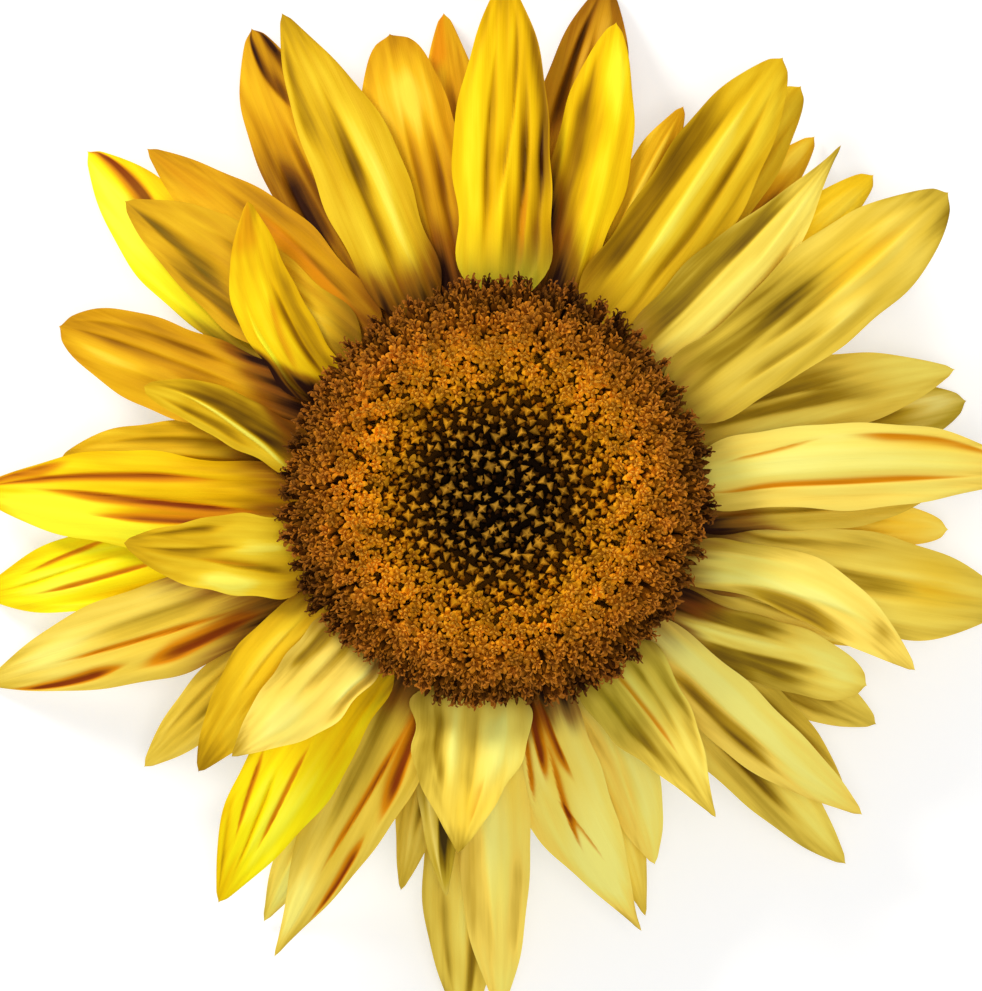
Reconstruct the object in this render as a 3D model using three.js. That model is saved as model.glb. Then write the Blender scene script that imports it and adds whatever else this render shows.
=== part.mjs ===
// Cut sunflower lying face up: a bent stem, the head, its bracts, three rings of disc florets and 54 petals.
// Millimetres and degrees. +Z is up; angles run anticlockwise from +X about the axis of the head.
import * as THREE from "three";

const GAP = 0.3;                  // clear space kept between neighbouring pieces

// Stem
const NECK_RADIUS = 7.2;
const STEM_RADIUS = 5.6;          // at the cut
const STEM_REACH = 60;            // axis of the head to the cut
const STEM_BEARING = 265;         // way the stem lies
const BEND_RADIUS = 15.5;         // centre line of the bend under the head
const BEND_LIFT = 0.6;            // the stem is a little thicker, so its middle is higher, at the bend

// Head: it stands on the bend of the stem
const HEAD_RADIUS = 28.4;         // side wall of the receptacle
const HEAD_HEIGHT = 15.1;         // neck to the top edge of the side wall
const HEAD_FLARE = 5.6;           // neck to the bottom edge of the side wall
const HEAD_CROWN = 1.8;           // rise of the crown over the top edge
const HEAD_BASE_Z = STEM_RADIUS + BEND_LIFT + BEND_RADIUS + 2 * GAP;
const HEAD_RIM_Z = HEAD_BASE_Z + HEAD_HEIGHT;
const HEAD_CROWN_Z = HEAD_RIM_Z + HEAD_CROWN;

// Disc florets, in three rings that follow how far they have opened
const BUD_RING_RADIUS = 18.5;     // closed buds in the middle
const OPEN_RING_INSET = 2;        // open florets stop this far inside the side wall
const RIM_OVERHANG = 5;           // the ragged rim reaches this far past the side wall
const RIM_CLEARANCE = 1.3;        // space for the feet of the petals under the rim
const BUD_HEIGHT = 5.4;
const OPEN_HEIGHT = 7.8;
const RIM_HEIGHT = 6.2;
const OPEN_RING_RADIUS = HEAD_RADIUS - OPEN_RING_INSET;
const DISC_RADIUS = HEAD_RADIUS + RIM_OVERHANG;
const BUD_TOP_Z = HEAD_CROWN_Z + BUD_HEIGHT;
const OPEN_TOP_Z = HEAD_CROWN_Z + OPEN_HEIGHT;
const RIM_TOP_Z = HEAD_CROWN_Z + RIM_HEIGHT;

// Petals
const ROOT_CLEARANCE = 1.5;       // side wall to the foot of every petal
const PETAL_THICKNESS = 0.5;
const LAYER_AT_ROOT = 0.95;       // height from one layer of petals to the next
const LAYER_SPREAD = 0.028;       // how much that height grows per millimetre outwards
const FLOOR_RADIUS = 84;          // the lowest petals come down to the floor here
const DROOP_POWER = 1.5;
const CLAW_HALF_WIDTH = 1.4;      // narrow foot of a petal at the head
const BASE_SHARE = 0.32;          // half width just outside the foot, as a share of the greatest width
const BASE_AT = 0.1;              // where along the petal that half width is reached
const TIP_HALF_WIDTH = 0.35;
const CAMBER = 0.35;              // rise of the middle of a petal over its edges
const OUTLINE_MARGIN = 0.5;       // petals closer than this are stacked
const ROOT_RADIUS = HEAD_RADIUS + ROOT_CLEARANCE;
const ROOT_Z = HEAD_BASE_Z + HEAD_FLARE;

// Bracts
const BRACT_COUNT = 26;
const BRACT_LENGTH = 22;
const BRACT_THICKNESS = 0.9;
const BRACT_DROP = 8.5;
const BRACT_INSET = 3.2;          // the collar's hole is this much smaller than the side wall
const BRACT_RISE = 1.8;           // neck to the collar
const BRACT_ROOT_RADIUS = HEAD_RADIUS - BRACT_INSET;
const BRACT_Z = HEAD_BASE_Z + BRACT_RISE;

const radians = (degrees) => (degrees * Math.PI) / 180;
const polar = (azimuth, radius) => [radius * Math.cos(radians(azimuth)), radius * Math.sin(radians(azimuth))];

function material(colour, roughness) {
  return new THREE.MeshStandardMaterial({ color: colour, roughness, metalness: 0 });
}

// One closed solid from a list of rings of points; rings join in order and both ends are capped.
function loft(name, rings, surface) {
  const count = rings[0].length;
  const positions = rings.flat(2);
  const triangles = [];
  for (let i = 0; i + 1 < rings.length; i += 1) {
    for (let j = 0; j < count; j += 1) {
      const a = i * count + j;
      const b = i * count + ((j + 1) % count);
      triangles.push(a, b, b + count, a, b + count, a + count);
    }
  }
  const last = (rings.length - 1) * count;
  for (const [start, flip] of [[0, true], [last, false]]) {
    const centre = positions.length / 3;
    for (let axis = 0; axis < 3; axis += 1) {
      let sum = 0;
      for (let j = 0; j < count; j += 1) sum += positions[(start + j) * 3 + axis];
      positions.push(sum / count);
    }
    for (let j = 0; j < count; j += 1) {
      const a = start + j;
      const b = start + ((j + 1) % count);
      triangles.push(...(flip ? [centre, b, a] : [centre, a, b]));
    }
  }
  return solid(name, positions, triangles, surface);
}

// A closed ring from loops of points that go round a section and come back to the first.
function torus(name, loops, surface) {
  const count = loops[0].length;
  const total = loops.length;
  const triangles = [];
  for (let i = 0; i < total; i += 1) {
    const next = (i + 1) % total;
    for (let j = 0; j < count; j += 1) {
      const after = (j + 1) % count;
      triangles.push(i * count + j, next * count + j, next * count + after);
      triangles.push(i * count + j, next * count + after, i * count + after);
    }
  }
  return solid(name, loops.flat(2), triangles, surface);
}

function solid(name, positions, triangles, surface) {
  const geometry = new THREE.BufferGeometry();
  geometry.setAttribute("position", new THREE.Float32BufferAttribute(positions, 3));
  geometry.setIndex(triangles);
  geometry.computeVertexNormals();
  const mesh = new THREE.Mesh(geometry, surface);
  mesh.name = name;
  return mesh;
}

// ---- stem: down from the head, round a bend and out along the floor ----
function stemMesh(surface) {
  const sides = 12;
  const [dx, dy] = polar(STEM_BEARING, 1);
  const path = [];
  const bendTop = STEM_RADIUS + BEND_LIFT + BEND_RADIUS;
  path.push([0, HEAD_BASE_Z - GAP, 90]);
  for (let turn = 90; turn >= 0; turn -= 15) {
    const angle = radians(turn);
    const out = BEND_RADIUS * (1 - Math.sin(angle));
    path.push([out, bendTop - BEND_RADIUS * Math.cos(angle), turn]);
  }
  const straight = STEM_REACH - BEND_RADIUS;
  for (let step = 1; step <= 3; step += 1) {
    path.push([BEND_RADIUS + (straight * step) / 3, STEM_RADIUS + BEND_LIFT * (1 - step / 3), 0]);
  }
  const rings = path.map(([out, z, turn], i) => {
    const taper = i / (path.length - 1);
    const radius = NECK_RADIUS + (STEM_RADIUS - NECK_RADIUS) * Math.min(1, taper * 1.6);
    const lean = radians(turn);
    const ring = [];
    for (let j = 0; j < sides; j += 1) {
      const around = (j / sides) * 2 * Math.PI;
      const side = radius * Math.cos(around);
      const rise = radius * Math.sin(around);
      const along = out + rise * Math.sin(lean);
      ring.push([dx * along - dy * side, dy * along + dx * side, z + rise * Math.cos(lean)]);
    }
    return ring;
  });
  return loft("stem", rings, surface);
}

// ---- receptacle: the green cushion that carries everything else ----
function receptacleMesh(surface) {
  const sides = 36;
  const profile = [
    [NECK_RADIUS + 0.6, HEAD_BASE_Z],
    [HEAD_RADIUS * 0.62, HEAD_BASE_Z + 0.7],
    [HEAD_RADIUS * 0.84, HEAD_BASE_Z + 2.3],
    [HEAD_RADIUS * 0.96, HEAD_BASE_Z + 4.3],
    [HEAD_RADIUS, ROOT_Z],
    [HEAD_RADIUS, HEAD_RIM_Z],
    [HEAD_RADIUS * 0.8, HEAD_RIM_Z + 0.9],
    [HEAD_RADIUS * 0.4, HEAD_CROWN_Z],
  ];
  const rings = profile.map(([radius, z]) => {
    const ring = [];
    for (let j = 0; j < sides; j += 1) ring.push([...polar((j * 360) / sides, radius), z]);
    return ring;
  });
  return loft("receptacle", rings, surface);
}

// ---- bracts: one collar of pointed green leaves under the petals ----
function bractMesh(surface) {
  const loops = [];
  const perBract = 6;
  const shape = [0, 0.42, 0.8, 1, 0.8, 0.42];
  for (let k = 0; k < BRACT_COUNT * perBract; k += 1) {
    const bract = Math.floor(k / perBract);
    const long = bract % 2 === 0 ? 1 : 0.72;
    const length = 2 + BRACT_LENGTH * long * shape[k % perBract];
    const azimuth = (k * 360) / (BRACT_COUNT * perBract);
    const upper = [];
    const lower = [];
    for (const part of [0, 0.35, 0.7, 1]) {
      const fall = (length * part) / (BRACT_LENGTH + 2);
      const z = BRACT_Z - BRACT_DROP * fall ** 1.6;
      const thickness = BRACT_THICKNESS * (1 - 0.5 * part);
      const at = polar(azimuth, BRACT_ROOT_RADIUS + length * part);
      upper.push([...at, z + thickness / 2]);
      lower.push([...at, z - thickness / 2]);
    }
    loops.push([...lower.reverse(), ...upper]);
  }
  return torus("bracts", loops.reverse(), surface);
}

// ---- disc florets: low solids whose tops are broken into bumps ----
function budMesh(surface) {
  const sides = 30;
  const bottom = HEAD_CROWN_Z + GAP;
  const rings = [];
  const ringAt = (radius, z, bump) => {
    const ring = [];
    for (let j = 0; j < sides; j += 1) {
      ring.push([...polar((j * 360) / sides, radius), z + (bump ? (j % 2) * bump : 0)]);
    }
    rings.push(ring);
  };
  ringAt(BUD_RING_RADIUS * 0.4, bottom, 0);
  ringAt(BUD_RING_RADIUS, bottom, 0);
  ringAt(BUD_RING_RADIUS, BUD_TOP_Z, 0.9);
  ringAt(BUD_RING_RADIUS * 0.8, BUD_TOP_Z + 0.7, -0.9);
  ringAt(BUD_RING_RADIUS * 0.6, BUD_TOP_Z, 0.9);
  ringAt(BUD_RING_RADIUS * 0.4, BUD_TOP_Z + 0.3, -0.8);
  ringAt(BUD_RING_RADIUS * 0.2, BUD_TOP_Z - 0.6, 0.6);
  return loft("florets_bud", rings, surface);
}

function floretRing(name, inner, outer, underside, top, ragged, surface) {
  const sides = 60;
  const loops = [];
  for (let j = 0; j < sides; j += 1) {
    const azimuth = (j * 360) / sides;
    const wave = Math.sin(radians(azimuth * 9)) + 0.7 * Math.sin(radians(azimuth * 23 + 60));
    const edge = outer + ragged * (wave * 0.45 - 0.75);
    const bump = j % 2;
    const middle = (inner + edge) / 2;
    loops.push([
      [...polar(azimuth, inner), underside(inner)],
      [...polar(azimuth, edge), underside(edge)],
      [...polar(azimuth, edge), top - 1.6 * ragged + 0.9 * bump],
      [...polar(azimuth, middle), top + 0.8 * (1 - bump)],
      [...polar(azimuth, inner), top - 0.9 + 0.8 * bump],
    ]);
  }
  return torus(name, loops, surface);
}

// ---- petals ----
// Outline: root and tip as angle and reach, greatest width, where it lies along the petal (0 to 1),
// how pointed the tip is (0.5 round, 1 pointed, 1.4 drawn out), sideways bow and rise of the tip.
const petal = (root, tip, reach, width, peak, point, bow = 0, lift = 0) => (
  { root, tip, reach, width, peak, point, bow, lift }
);

// Each row is listed from the lowest petal to the highest.
const backPetals = [
  petal(146, 140, 86, 15, 0.55, 0.8, 1.5),
  petal(96, 96.2, 78, 9, 0.6, 0.8),
  petal(78, 77.7, 84, 13, 0.6, 0.7),
  petal(48, 48.3, 77.2, 9, 0.6, 0.8),
  petal(34.5, 40.2, 79.6, 9, 0.6, 0.6, 0.8),
  petal(10, 11.2, 77.3, 12, 0.6, 0.7),
  petal(348.5, 355.5, 73, 8, 0.65, 0.6, 1),
  petal(326, 328.8, 71.5, 10, 0.6, 0.8),
  petal(313, 313.4, 82, 11, 0.55, 0.9),
  petal(264, 266.5, 85, 12, 0.6, 0.7, -1),
  petal(241, 241.5, 78.4, 8, 0.6, 1),
  petal(213, 217.8, 71.6, 9, 0.6, 0.9, -1),
  petal(191, 191, 84, 12.5, 0.62, 0.7),
  petal(170.5, 175.6, 70.5, 12, 0.55, 0.8, -0.6),
  petal(65, 64.2, 69.2, 8, 0.6, 0.9),
  petal(329, 333.5, 60, 8, 0.5, 1),
  petal(337, 338.5, 66, 8, 0.5, 0.9),
  petal(322, 319.5, 73.5, 9, 0.6, 0.9, 0.6),
  petal(286, 289.5, 72, 7.5, 0.55, 1.1, 1.5),
  petal(255, 256.5, 65.4, 7, 0.55, 1),
  petal(203, 200.3, 88, 14.5, 0.5, 0.9, 0.8),
];
const middlePetals = [
  petal(122, 117.7, 84.8, 14.5, 0.6, 0.8, 1.5),
  petal(344.5, 347.8, 84, 15.5, 0.62, 0.7, -0.8),
  petal(103, 103, 76, 14.5, 0.6, 0.5),
  petal(54, 53.2, 82, 11, 0.6, 0.6),
  petal(15, 15.2, 76.5, 12.5, 0.5, 0.9, 1.2),
  petal(74, 75.7, 78.3, 12, 0.55, 0.8, -1),
  petal(355, 0.2, 70.5, 9, 0.55, 0.8),
  petal(324, 332.7, 67, 10.5, 0.62, 0.55, -0.6),
  petal(317, 318.8, 78.2, 10, 0.5, 0.9, -1),
  petal(292, 293.2, 64.7, 9, 0.55, 0.9, 2),
  petal(279, 288.4, 74, 13.5, 0.42, 1.3, -2),
  petal(268.5, 270.4, 83, 10.5, 0.55, 0.8),
  petal(251, 263, 65, 6.5, 0.5, 1, -0.6),
  petal(246, 244.4, 82.4, 14, 0.4, 1.2, 0.4),
  petal(232.5, 235.8, 79.3, 14, 0.5, 0.9, -1.5),
  petal(213, 223, 65.2, 11, 0.5, 0.9, -1.6),
  petal(183.5, 179.6, 84, 14.8, 0.5, 0.8, 0.4),
  petal(158, 159, 75.3, 14, 0.58, 0.6),
  petal(129, 135.3, 79, 12.5, 0.5, 0.9, -1),
  petal(138, 141.7, 76, 14.5, 0.5, 0.8, -0.8),
];
const frontPetals = [
  petal(113, 114, 84.7, 13.5, 0.5, 0.9, -0.5, 4),
  petal(88, 89, 83.5, 15, 0.45, 0.8, 0, 6),
  petal(60, 56.7, 84, 15, 0.55, 0.7, -1, 4),
  petal(43, 45.3, 78.7, 12, 0.4, 1.4, -1.8, 8),
  petal(26, 33.7, 87.3, 16.5, 0.6, 0.7, -1, 2),
  petal(3.5, 2.5, 84, 13.2, 0.55, 0.7, 2, 6),
  petal(339.5, 337.2, 72.8, 9.5, 0.55, 0.9, 4.6, 14),
  petal(304, 304.2, 62.5, 13, 0.32, 1.2, 0.5, 20),
  petal(263, 264, 57.7, 17, 0.32, 1, 0, 24),
  petal(226, 224.8, 59.5, 12.5, 0.4, 1, 0.8, 22),
  petal(199, 187.5, 60, 12, 0.42, 0.8, 1, 18),
  petal(171, 163, 59, 7.5, 0.5, 0.6, -1.5, 18),
  petal(150, 130.3, 61.5, 10.5, 0.5, 0.9, 3.6, 16),
];

const STATIONS = [0, 0.09, 0.23, 0.39, 0.55, 0.7, 0.83, 0.94, 1];
const ACROSS = [-1, -0.5, 0, 0.5, 1];

// Plan of a petal: the point on its middle line, the sideways direction and the half width at each station.
function planOf(shape) {
  const [rootX, rootY] = polar(shape.root, ROOT_RADIUS);
  const [tipX, tipY] = polar(shape.tip, shape.reach);
  const length = Math.hypot(tipX - rootX, tipY - rootY);
  const along = [(tipX - rootX) / length, (tipY - rootY) / length];
  const side = [-along[1], along[0]];
  const rising = (shape.point * shape.peak) / (1 - shape.peak);
  return STATIONS.map((u) => {
    const bow = shape.bow * 4 * u * (1 - u);
    const body = (u / shape.peak) ** rising * ((1 - u) / (1 - shape.peak)) ** shape.point;
    const base = shape.width * BASE_SHARE * Math.min(1, u / BASE_AT) * (1 - u) ** 1.5;
    const claw = CLAW_HALF_WIDTH * (1 - u) ** 3 + TIP_HALF_WIDTH + base;
    return {
      u,
      x: rootX + along[0] * length * u + side[0] * bow,
      y: rootY + along[1] * length * u + side[1] * bow,
      side,
      half: Math.hypot((shape.width / 2) * body, claw),
    };
  });
}

function outlineOf(plan, margin) {
  const left = plan.map((s) => [s.x + s.side[0] * (s.half + margin), s.y + s.side[1] * (s.half + margin)]);
  const right = plan.map((s) => [s.x - s.side[0] * (s.half + margin), s.y - s.side[1] * (s.half + margin)]);
  return [...left, ...right.reverse()];
}

function inside([x, y], outline) {
  let within = false;
  for (let i = 0, j = outline.length - 1; i < outline.length; j = i, i += 1) {
    const [xi, yi] = outline[i];
    const [xj, yj] = outline[j];
    if (yi > y !== yj > y && x < ((xj - xi) * (y - yi)) / (yj - yi) + xi) within = !within;
  }
  return within;
}

function segmentsCross(a, b, c, d) {
  const turn = (p, q, r) => (q[0] - p[0]) * (r[1] - p[1]) - (q[1] - p[1]) * (r[0] - p[0]);
  return turn(a, b, c) * turn(a, b, d) < 0 && turn(c, d, a) * turn(c, d, b) < 0;
}

function outlinesMeet(one, two) {
  if (inside(one[0], two) || inside(two[0], one)) return true;
  for (let i = 0; i < one.length; i += 1) {
    for (let j = 0; j < two.length; j += 1) {
      if (segmentsCross(one[i], one[(i + 1) % one.length], two[j], two[(j + 1) % two.length])) return true;
    }
  }
  return false;
}

// Height of the middle of a petal: lowest layer, plus its layer, plus its own rise; all by distance from the axis.
function petalHeight(radius, layer, lift) {
  const out = Math.max(0, radius - ROOT_RADIUS);
  const fall = ROOT_Z - PETAL_THICKNESS / 2;
  const lowest = ROOT_Z - fall * (out / (FLOOR_RADIUS - ROOT_RADIUS)) ** DROOP_POWER;
  return lowest + layer * (LAYER_AT_ROOT + LAYER_SPREAD * out) + lift * (out / 50) ** 1.5;
}

// A petal goes one layer above the highest petal it crosses and rises at least as much.
function stackPetals(rows) {
  const placed = [];
  for (const [row, petals] of Object.entries(rows)) {
    petals.forEach((shape, i) => {
      const plan = planOf(shape);
      const outline = outlineOf(plan, OUTLINE_MARGIN);
      const under = placed.filter((other) => outlinesMeet(outline, other.outline));
      const layer = under.reduce((most, other) => Math.max(most, other.layer + 1), 0);
      let lift = under.reduce((most, other) => Math.max(most, other.lift), shape.lift);
      if (layer === 0) {
        const tip = petalHeight(shape.reach, 0, 0) - PETAL_THICKNESS / 2;
        const out = (shape.reach - ROOT_RADIUS) / 50;
        if (shape.reach > 76) lift = -tip / out ** 1.5;
      }
      placed.push({ name: `petal_${row}_${String(i + 1).padStart(2, "0")}`, plan, outline, layer, lift });
    });
  }
  return placed;
}

function petalMesh(placed, surface) {
  const rings = placed.plan.map((station) => {
    const upper = [];
    const lower = [];
    for (const t of ACROSS) {
      const x = station.x + station.side[0] * station.half * t;
      const y = station.y + station.side[1] * station.half * t;
      const camber = CAMBER * Math.sin(Math.PI * station.u) * (1 - t * t);
      const z = petalHeight(Math.hypot(x, y), placed.layer, placed.lift) + camber;
      upper.push([x, y, z + PETAL_THICKNESS / 2]);
      lower.push([x, y, z - PETAL_THICKNESS / 2]);
    }
    return [...upper, ...lower.reverse()];
  });
  return plate(placed.name, rings, surface);
}

// A thin plate from stations that each hold an upper row and the lower row back again; ends closed by strips.
function plate(name, rings, surface) {
  const count = rings[0].length;
  const half = count / 2;
  const triangles = [];
  for (let i = 0; i + 1 < rings.length; i += 1) {
    for (let j = 0; j < count; j += 1) {
      const a = i * count + j;
      const b = i * count + ((j + 1) % count);
      triangles.push(a, b + count, b, a, a + count, b + count);
    }
  }
  for (const [start, flip] of [[0, false], [(rings.length - 1) * count, true]]) {
    for (let j = 0; j + 1 < half; j += 1) {
      const a = start + j;
      const b = start + j + 1;
      const c = start + count - 2 - j;
      const d = start + count - 1 - j;
      triangles.push(...(flip ? [a, c, b, a, d, c] : [a, b, c, a, c, d]));
    }
  }
  return solid(name, rings.flat(2), triangles, surface);
}

const group = new THREE.Group();
group.name = "cut_sunflower";
const stemGreen = material(0x6f8f3a, 0.7);
const headGreen = material(0x7d9a48, 0.75);
const bractGreen = material(0x5d8033, 0.75);
const budBrown = material(0x4a2c0a, 0.8);
const openOrange = material(0xa8640a, 0.75);
const rimBrown = material(0x6e3c0c, 0.85);
const petalYellows = { back: material(0xe0a810, 0.6), middle: material(0xf0c81c, 0.6), front: material(0xf7dc3c, 0.6) };

group.add(stemMesh(stemGreen));
group.add(receptacleMesh(headGreen));
group.add(bractMesh(bractGreen));
group.add(budMesh(budBrown));
const crown = () => HEAD_CROWN_Z + GAP;
const overhang = (radius) => HEAD_RIM_Z + RIM_CLEARANCE + 0.24 * Math.max(0, radius - OPEN_RING_RADIUS);
group.add(floretRing("florets_open", BUD_RING_RADIUS + GAP, OPEN_RING_RADIUS, crown, OPEN_TOP_Z, 0, openOrange));
group.add(floretRing("florets_rim", OPEN_RING_RADIUS + GAP, DISC_RADIUS, overhang, RIM_TOP_Z, 1, rimBrown));
for (const placed of stackPetals({ back: backPetals, middle: middlePetals, front: frontPetals })) {
  group.add(petalMesh(placed, petalYellows[placed.name.split("_")[1]]));
}

// The row's origin is the middle of the bottom of the whole flower.
const box = new THREE.Box3().setFromObject(group);
const offset = new THREE.Vector3(-(box.min.x + box.max.x) / 2, -(box.min.y + box.max.y) / 2, -box.min.z);
for (const mesh of group.children) mesh.geometry.translate(offset.x, offset.y, offset.z);

export default group;
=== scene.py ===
# %% [markdown]
# # A cut sunflower, lying face up
#
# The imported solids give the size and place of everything: 54 petals, three rings of disc florets, a
# collar of bracts, the cushion that carries them and a short bent stem. Here each one gets its real
# surface. A petal is a sheet that is pleated along its length, the disc is a spiral of small tubular
# flowers, and every finish is worked out from the piece itself, so that it looks right from any side.

# %% The frame
import math

import bpy
import numpy as np
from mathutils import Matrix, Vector


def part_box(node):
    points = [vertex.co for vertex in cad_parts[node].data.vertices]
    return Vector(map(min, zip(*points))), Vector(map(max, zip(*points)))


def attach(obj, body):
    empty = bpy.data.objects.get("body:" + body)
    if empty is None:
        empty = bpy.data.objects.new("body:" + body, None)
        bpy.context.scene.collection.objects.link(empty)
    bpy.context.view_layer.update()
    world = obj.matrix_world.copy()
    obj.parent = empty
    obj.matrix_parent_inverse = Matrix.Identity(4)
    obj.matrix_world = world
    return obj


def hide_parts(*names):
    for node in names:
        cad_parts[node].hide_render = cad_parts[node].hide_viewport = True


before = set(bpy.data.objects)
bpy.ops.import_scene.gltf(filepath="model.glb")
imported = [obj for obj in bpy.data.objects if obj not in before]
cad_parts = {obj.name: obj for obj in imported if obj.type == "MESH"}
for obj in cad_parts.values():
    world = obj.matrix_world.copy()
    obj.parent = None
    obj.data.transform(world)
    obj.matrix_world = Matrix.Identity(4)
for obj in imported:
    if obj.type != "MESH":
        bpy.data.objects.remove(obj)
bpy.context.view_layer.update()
MM = 0.001
head_low, head_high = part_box("receptacle")
AXIS_X = (head_low.x + head_high.x) / 2
AXIS_Y = (head_low.y + head_high.y) / 2
HEAD_RADIUS = (head_high.x - head_low.x) / 2
HEAD_LOW = head_low.z
HEAD_CROWN = head_high.z
print("axis of the head", round(AXIS_X, 5), round(AXIS_Y, 5), "radius", round(HEAD_RADIUS, 5))

# %% [markdown]
# ## Camera
#
# The flower faces straight up, so the camera hangs over it with the top of the view towards +Y. A very
# long lens a good way off keeps the tips, which droop, at nearly the same scale as the disc. An
# orthographic camera would do the same, but then other views would lose their natural depth. The focal
# length follows from the width of the sensor, the distance to a level between tips and disc, and the
# stretch of the scene that the view takes in at that level.

# %% Camera
CAMERA_HEIGHT = 4.0
VIEW_HEIGHT = 0.1586
VIEW_LEVEL = 0.034
VIEW_LEFT = 0.0008
VIEW_DOWN = 0.00024
SENSOR = 36.0
camera_data = bpy.data.cameras.new("camera")
camera_data.sensor_width = SENSOR
camera_data.lens = SENSOR * (CAMERA_HEIGHT - VIEW_LEVEL) / VIEW_HEIGHT
camera_data.clip_start = 0.05
camera_data.clip_end = 20
camera = bpy.data.objects.new("camera", camera_data)
camera.location = (AXIS_X - VIEW_LEFT, AXIS_Y - VIEW_DOWN, CAMERA_HEIGHT)
bpy.context.scene.collection.objects.link(camera)
bpy.context.scene.camera = camera
print("lens", round(camera_data.lens, 1), "mm")

# %% [markdown]
# ## Light
#
# One could light a flower with a single lamp, but petals are bright and thin and are usually seen in
# soft light from a whole sky: a pale world does that. One broad lamp from the upper left models the
# pleats, one from above lightens them, and a weak one from the lower right keeps the shaded sides clear.
# The standard view transform leaves the yellows as strong as they are mixed.

# %% World and lamps
scene = bpy.context.scene
scene.view_settings.view_transform = "Standard"
scene.view_settings.look = "None"
WORLD_STRENGTH = 0.45


def lamp(name, place, size, power, colour=(1, 1, 1)):
    """A square area lamp that points at the head from the given place."""
    data = bpy.data.lights.new(name, "AREA")
    data.size = size
    data.energy = power
    data.color = colour
    made = bpy.data.objects.new(name, data)
    made.location = place
    aim = Vector((AXIS_X, AXIS_Y, HEAD_LOW)) - Vector(place)
    made.rotation_euler = aim.to_track_quat("-Z", "Y").to_euler()
    scene.collection.objects.link(made)
    return made


lamps = [
    lamp("key", (-0.7, 0.75, 0.8), size=0.35, power=9.0, colour=(1.0, 0.98, 0.95)),
    lamp("top", (0.1, -0.1, 1.9), size=0.6, power=9.0),
    lamp("fill", (0.9, -0.5, 0.9), size=0.9, power=1.4),
]

world = bpy.data.worlds.new("studio")
scene.world = world
world.use_nodes = True
background = world.node_tree.nodes["Background"]
background.inputs["Color"].default_value = (1, 1, 1, 1)
background.inputs["Strength"].default_value = WORLD_STRENGTH
print("lamps", [made.name for made in lamps], "world", WORLD_STRENGTH)

# %% [markdown]
# ## Helpers for meshes
#
# Every new surface is a grid of points worked out by numpy as whole arrays. These helpers turn arrays
# into meshes: a thin sheet closed along its edges, and a closed lathe or tube. A value that changes over
# the surface, such as how deep a pleat is, is stored with each point and read by the finish.

# %% Mesh helpers


def make_piece(name, points, faces, values=None, colours=None, smooth_angle=60):
    """A mesh object from points (metres) and faces, with named values and colours at its points."""
    mesh = bpy.data.meshes.new(name)
    mesh.from_pydata(points.reshape(-1, 3).tolist(), [], faces)
    mesh.polygons.foreach_set("use_smooth", np.ones(len(mesh.polygons), bool))
    for key, array in (values or {}).items():
        stored = mesh.attributes.new(key, "FLOAT", "POINT")
        stored.data.foreach_set("value", np.ravel(array).astype(np.float32))
    for key, array in (colours or {}).items():
        rgba = np.ones((len(mesh.vertices), 4), np.float32)
        rgba[:, :3] = array.reshape(-1, 3)
        mesh.attributes.new(key, "FLOAT_COLOR", "POINT").data.foreach_set("color", rgba.ravel())
    if smooth_angle:
        mesh.set_sharp_from_angle(angle=math.radians(smooth_angle))
    mesh.update()
    made = bpy.data.objects.new(name, mesh)
    scene.collection.objects.link(made)
    return made


def loft_faces(rings, count, closed_ends=True):
    """Quads that join closed rings of points in order; strips of quads close the two end rings."""
    i, j = np.meshgrid(np.arange(rings - 1), np.arange(count), indexing="ij")
    here, above = i * count, (i + 1) * count
    after = (j + 1) % count
    quads = np.stack([here + j, above + j, above + after, here + after], -1)
    faces = quads.reshape(-1, 4)
    if closed_ends:
        k = np.arange(count // 2 - 1)
        first = np.stack([k, k + 1, count - 2 - k, count - 1 - k], -1)
        last = first[:, ::-1] + (rings - 1) * count
        faces = np.concatenate([faces, first, last])
    return faces.tolist()


def sheet_between(upper, lower):
    """A closed sheet: each ring runs along the upper row and back along the lower one."""
    rings = np.concatenate([upper, lower[:, ::-1]], axis=1)
    return rings, loft_faces(rings.shape[0], rings.shape[1])


def doubled(array):
    """A value on the sheet's middle grid, repeated for its upper and lower points in ring order."""
    return np.concatenate([array, array[:, ::-1]], axis=1)


# %% [markdown]
# A spline is the smooth line that a thin strip of wood takes when it is bent past a row of pins. Because
# it depends on the pins' values by multiplication only, it can be written once as a table of weights and
# then used for any number of points at a time. A smoothstep is the other tool used all over this file: it
# fades a value in between two places without a kink.

# %% Splines and fades


def spline_weights(knots, at):
    """Weights of a natural cubic spline: times the values at the knots, they give its values at `at`.

    With a and b the shares of the way to the two knots of a cell and h its length, the value is
    a * left + b * right + h^2 / 6 * ((a^3 - a) * bend left + (b^3 - b) * bend right).
    """
    knots = np.asarray(knots, float)
    n = len(knots)
    h = np.diff(knots)
    left = np.eye(n)
    right = np.zeros((n, n))
    k = np.arange(1, n - 1)
    left[k, k - 1] = h[:-1]
    left[k, k] = 2 * (h[:-1] + h[1:])
    left[k, k + 1] = h[1:]
    right[k, k - 1] = 6 / h[:-1]
    right[k, k] = -6 / h[:-1] - 6 / h[1:]
    right[k, k + 1] = 6 / h[1:]
    bend = np.linalg.solve(left, right)
    cell = np.clip(np.searchsorted(knots, at, side="right") - 1, 0, n - 2)
    b = (at - knots[cell]) / h[cell]
    a = 1 - b
    eye = np.eye(n)
    cubic_a = ((a**3 - a) * h[cell] ** 2 / 6)[:, None]
    cubic_b = ((b**3 - b) * h[cell] ** 2 / 6)[:, None]
    straight = a[:, None] * eye[cell] + b[:, None] * eye[cell + 1]
    return straight + cubic_a * bend[cell] + cubic_b * bend[cell + 1]


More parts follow.
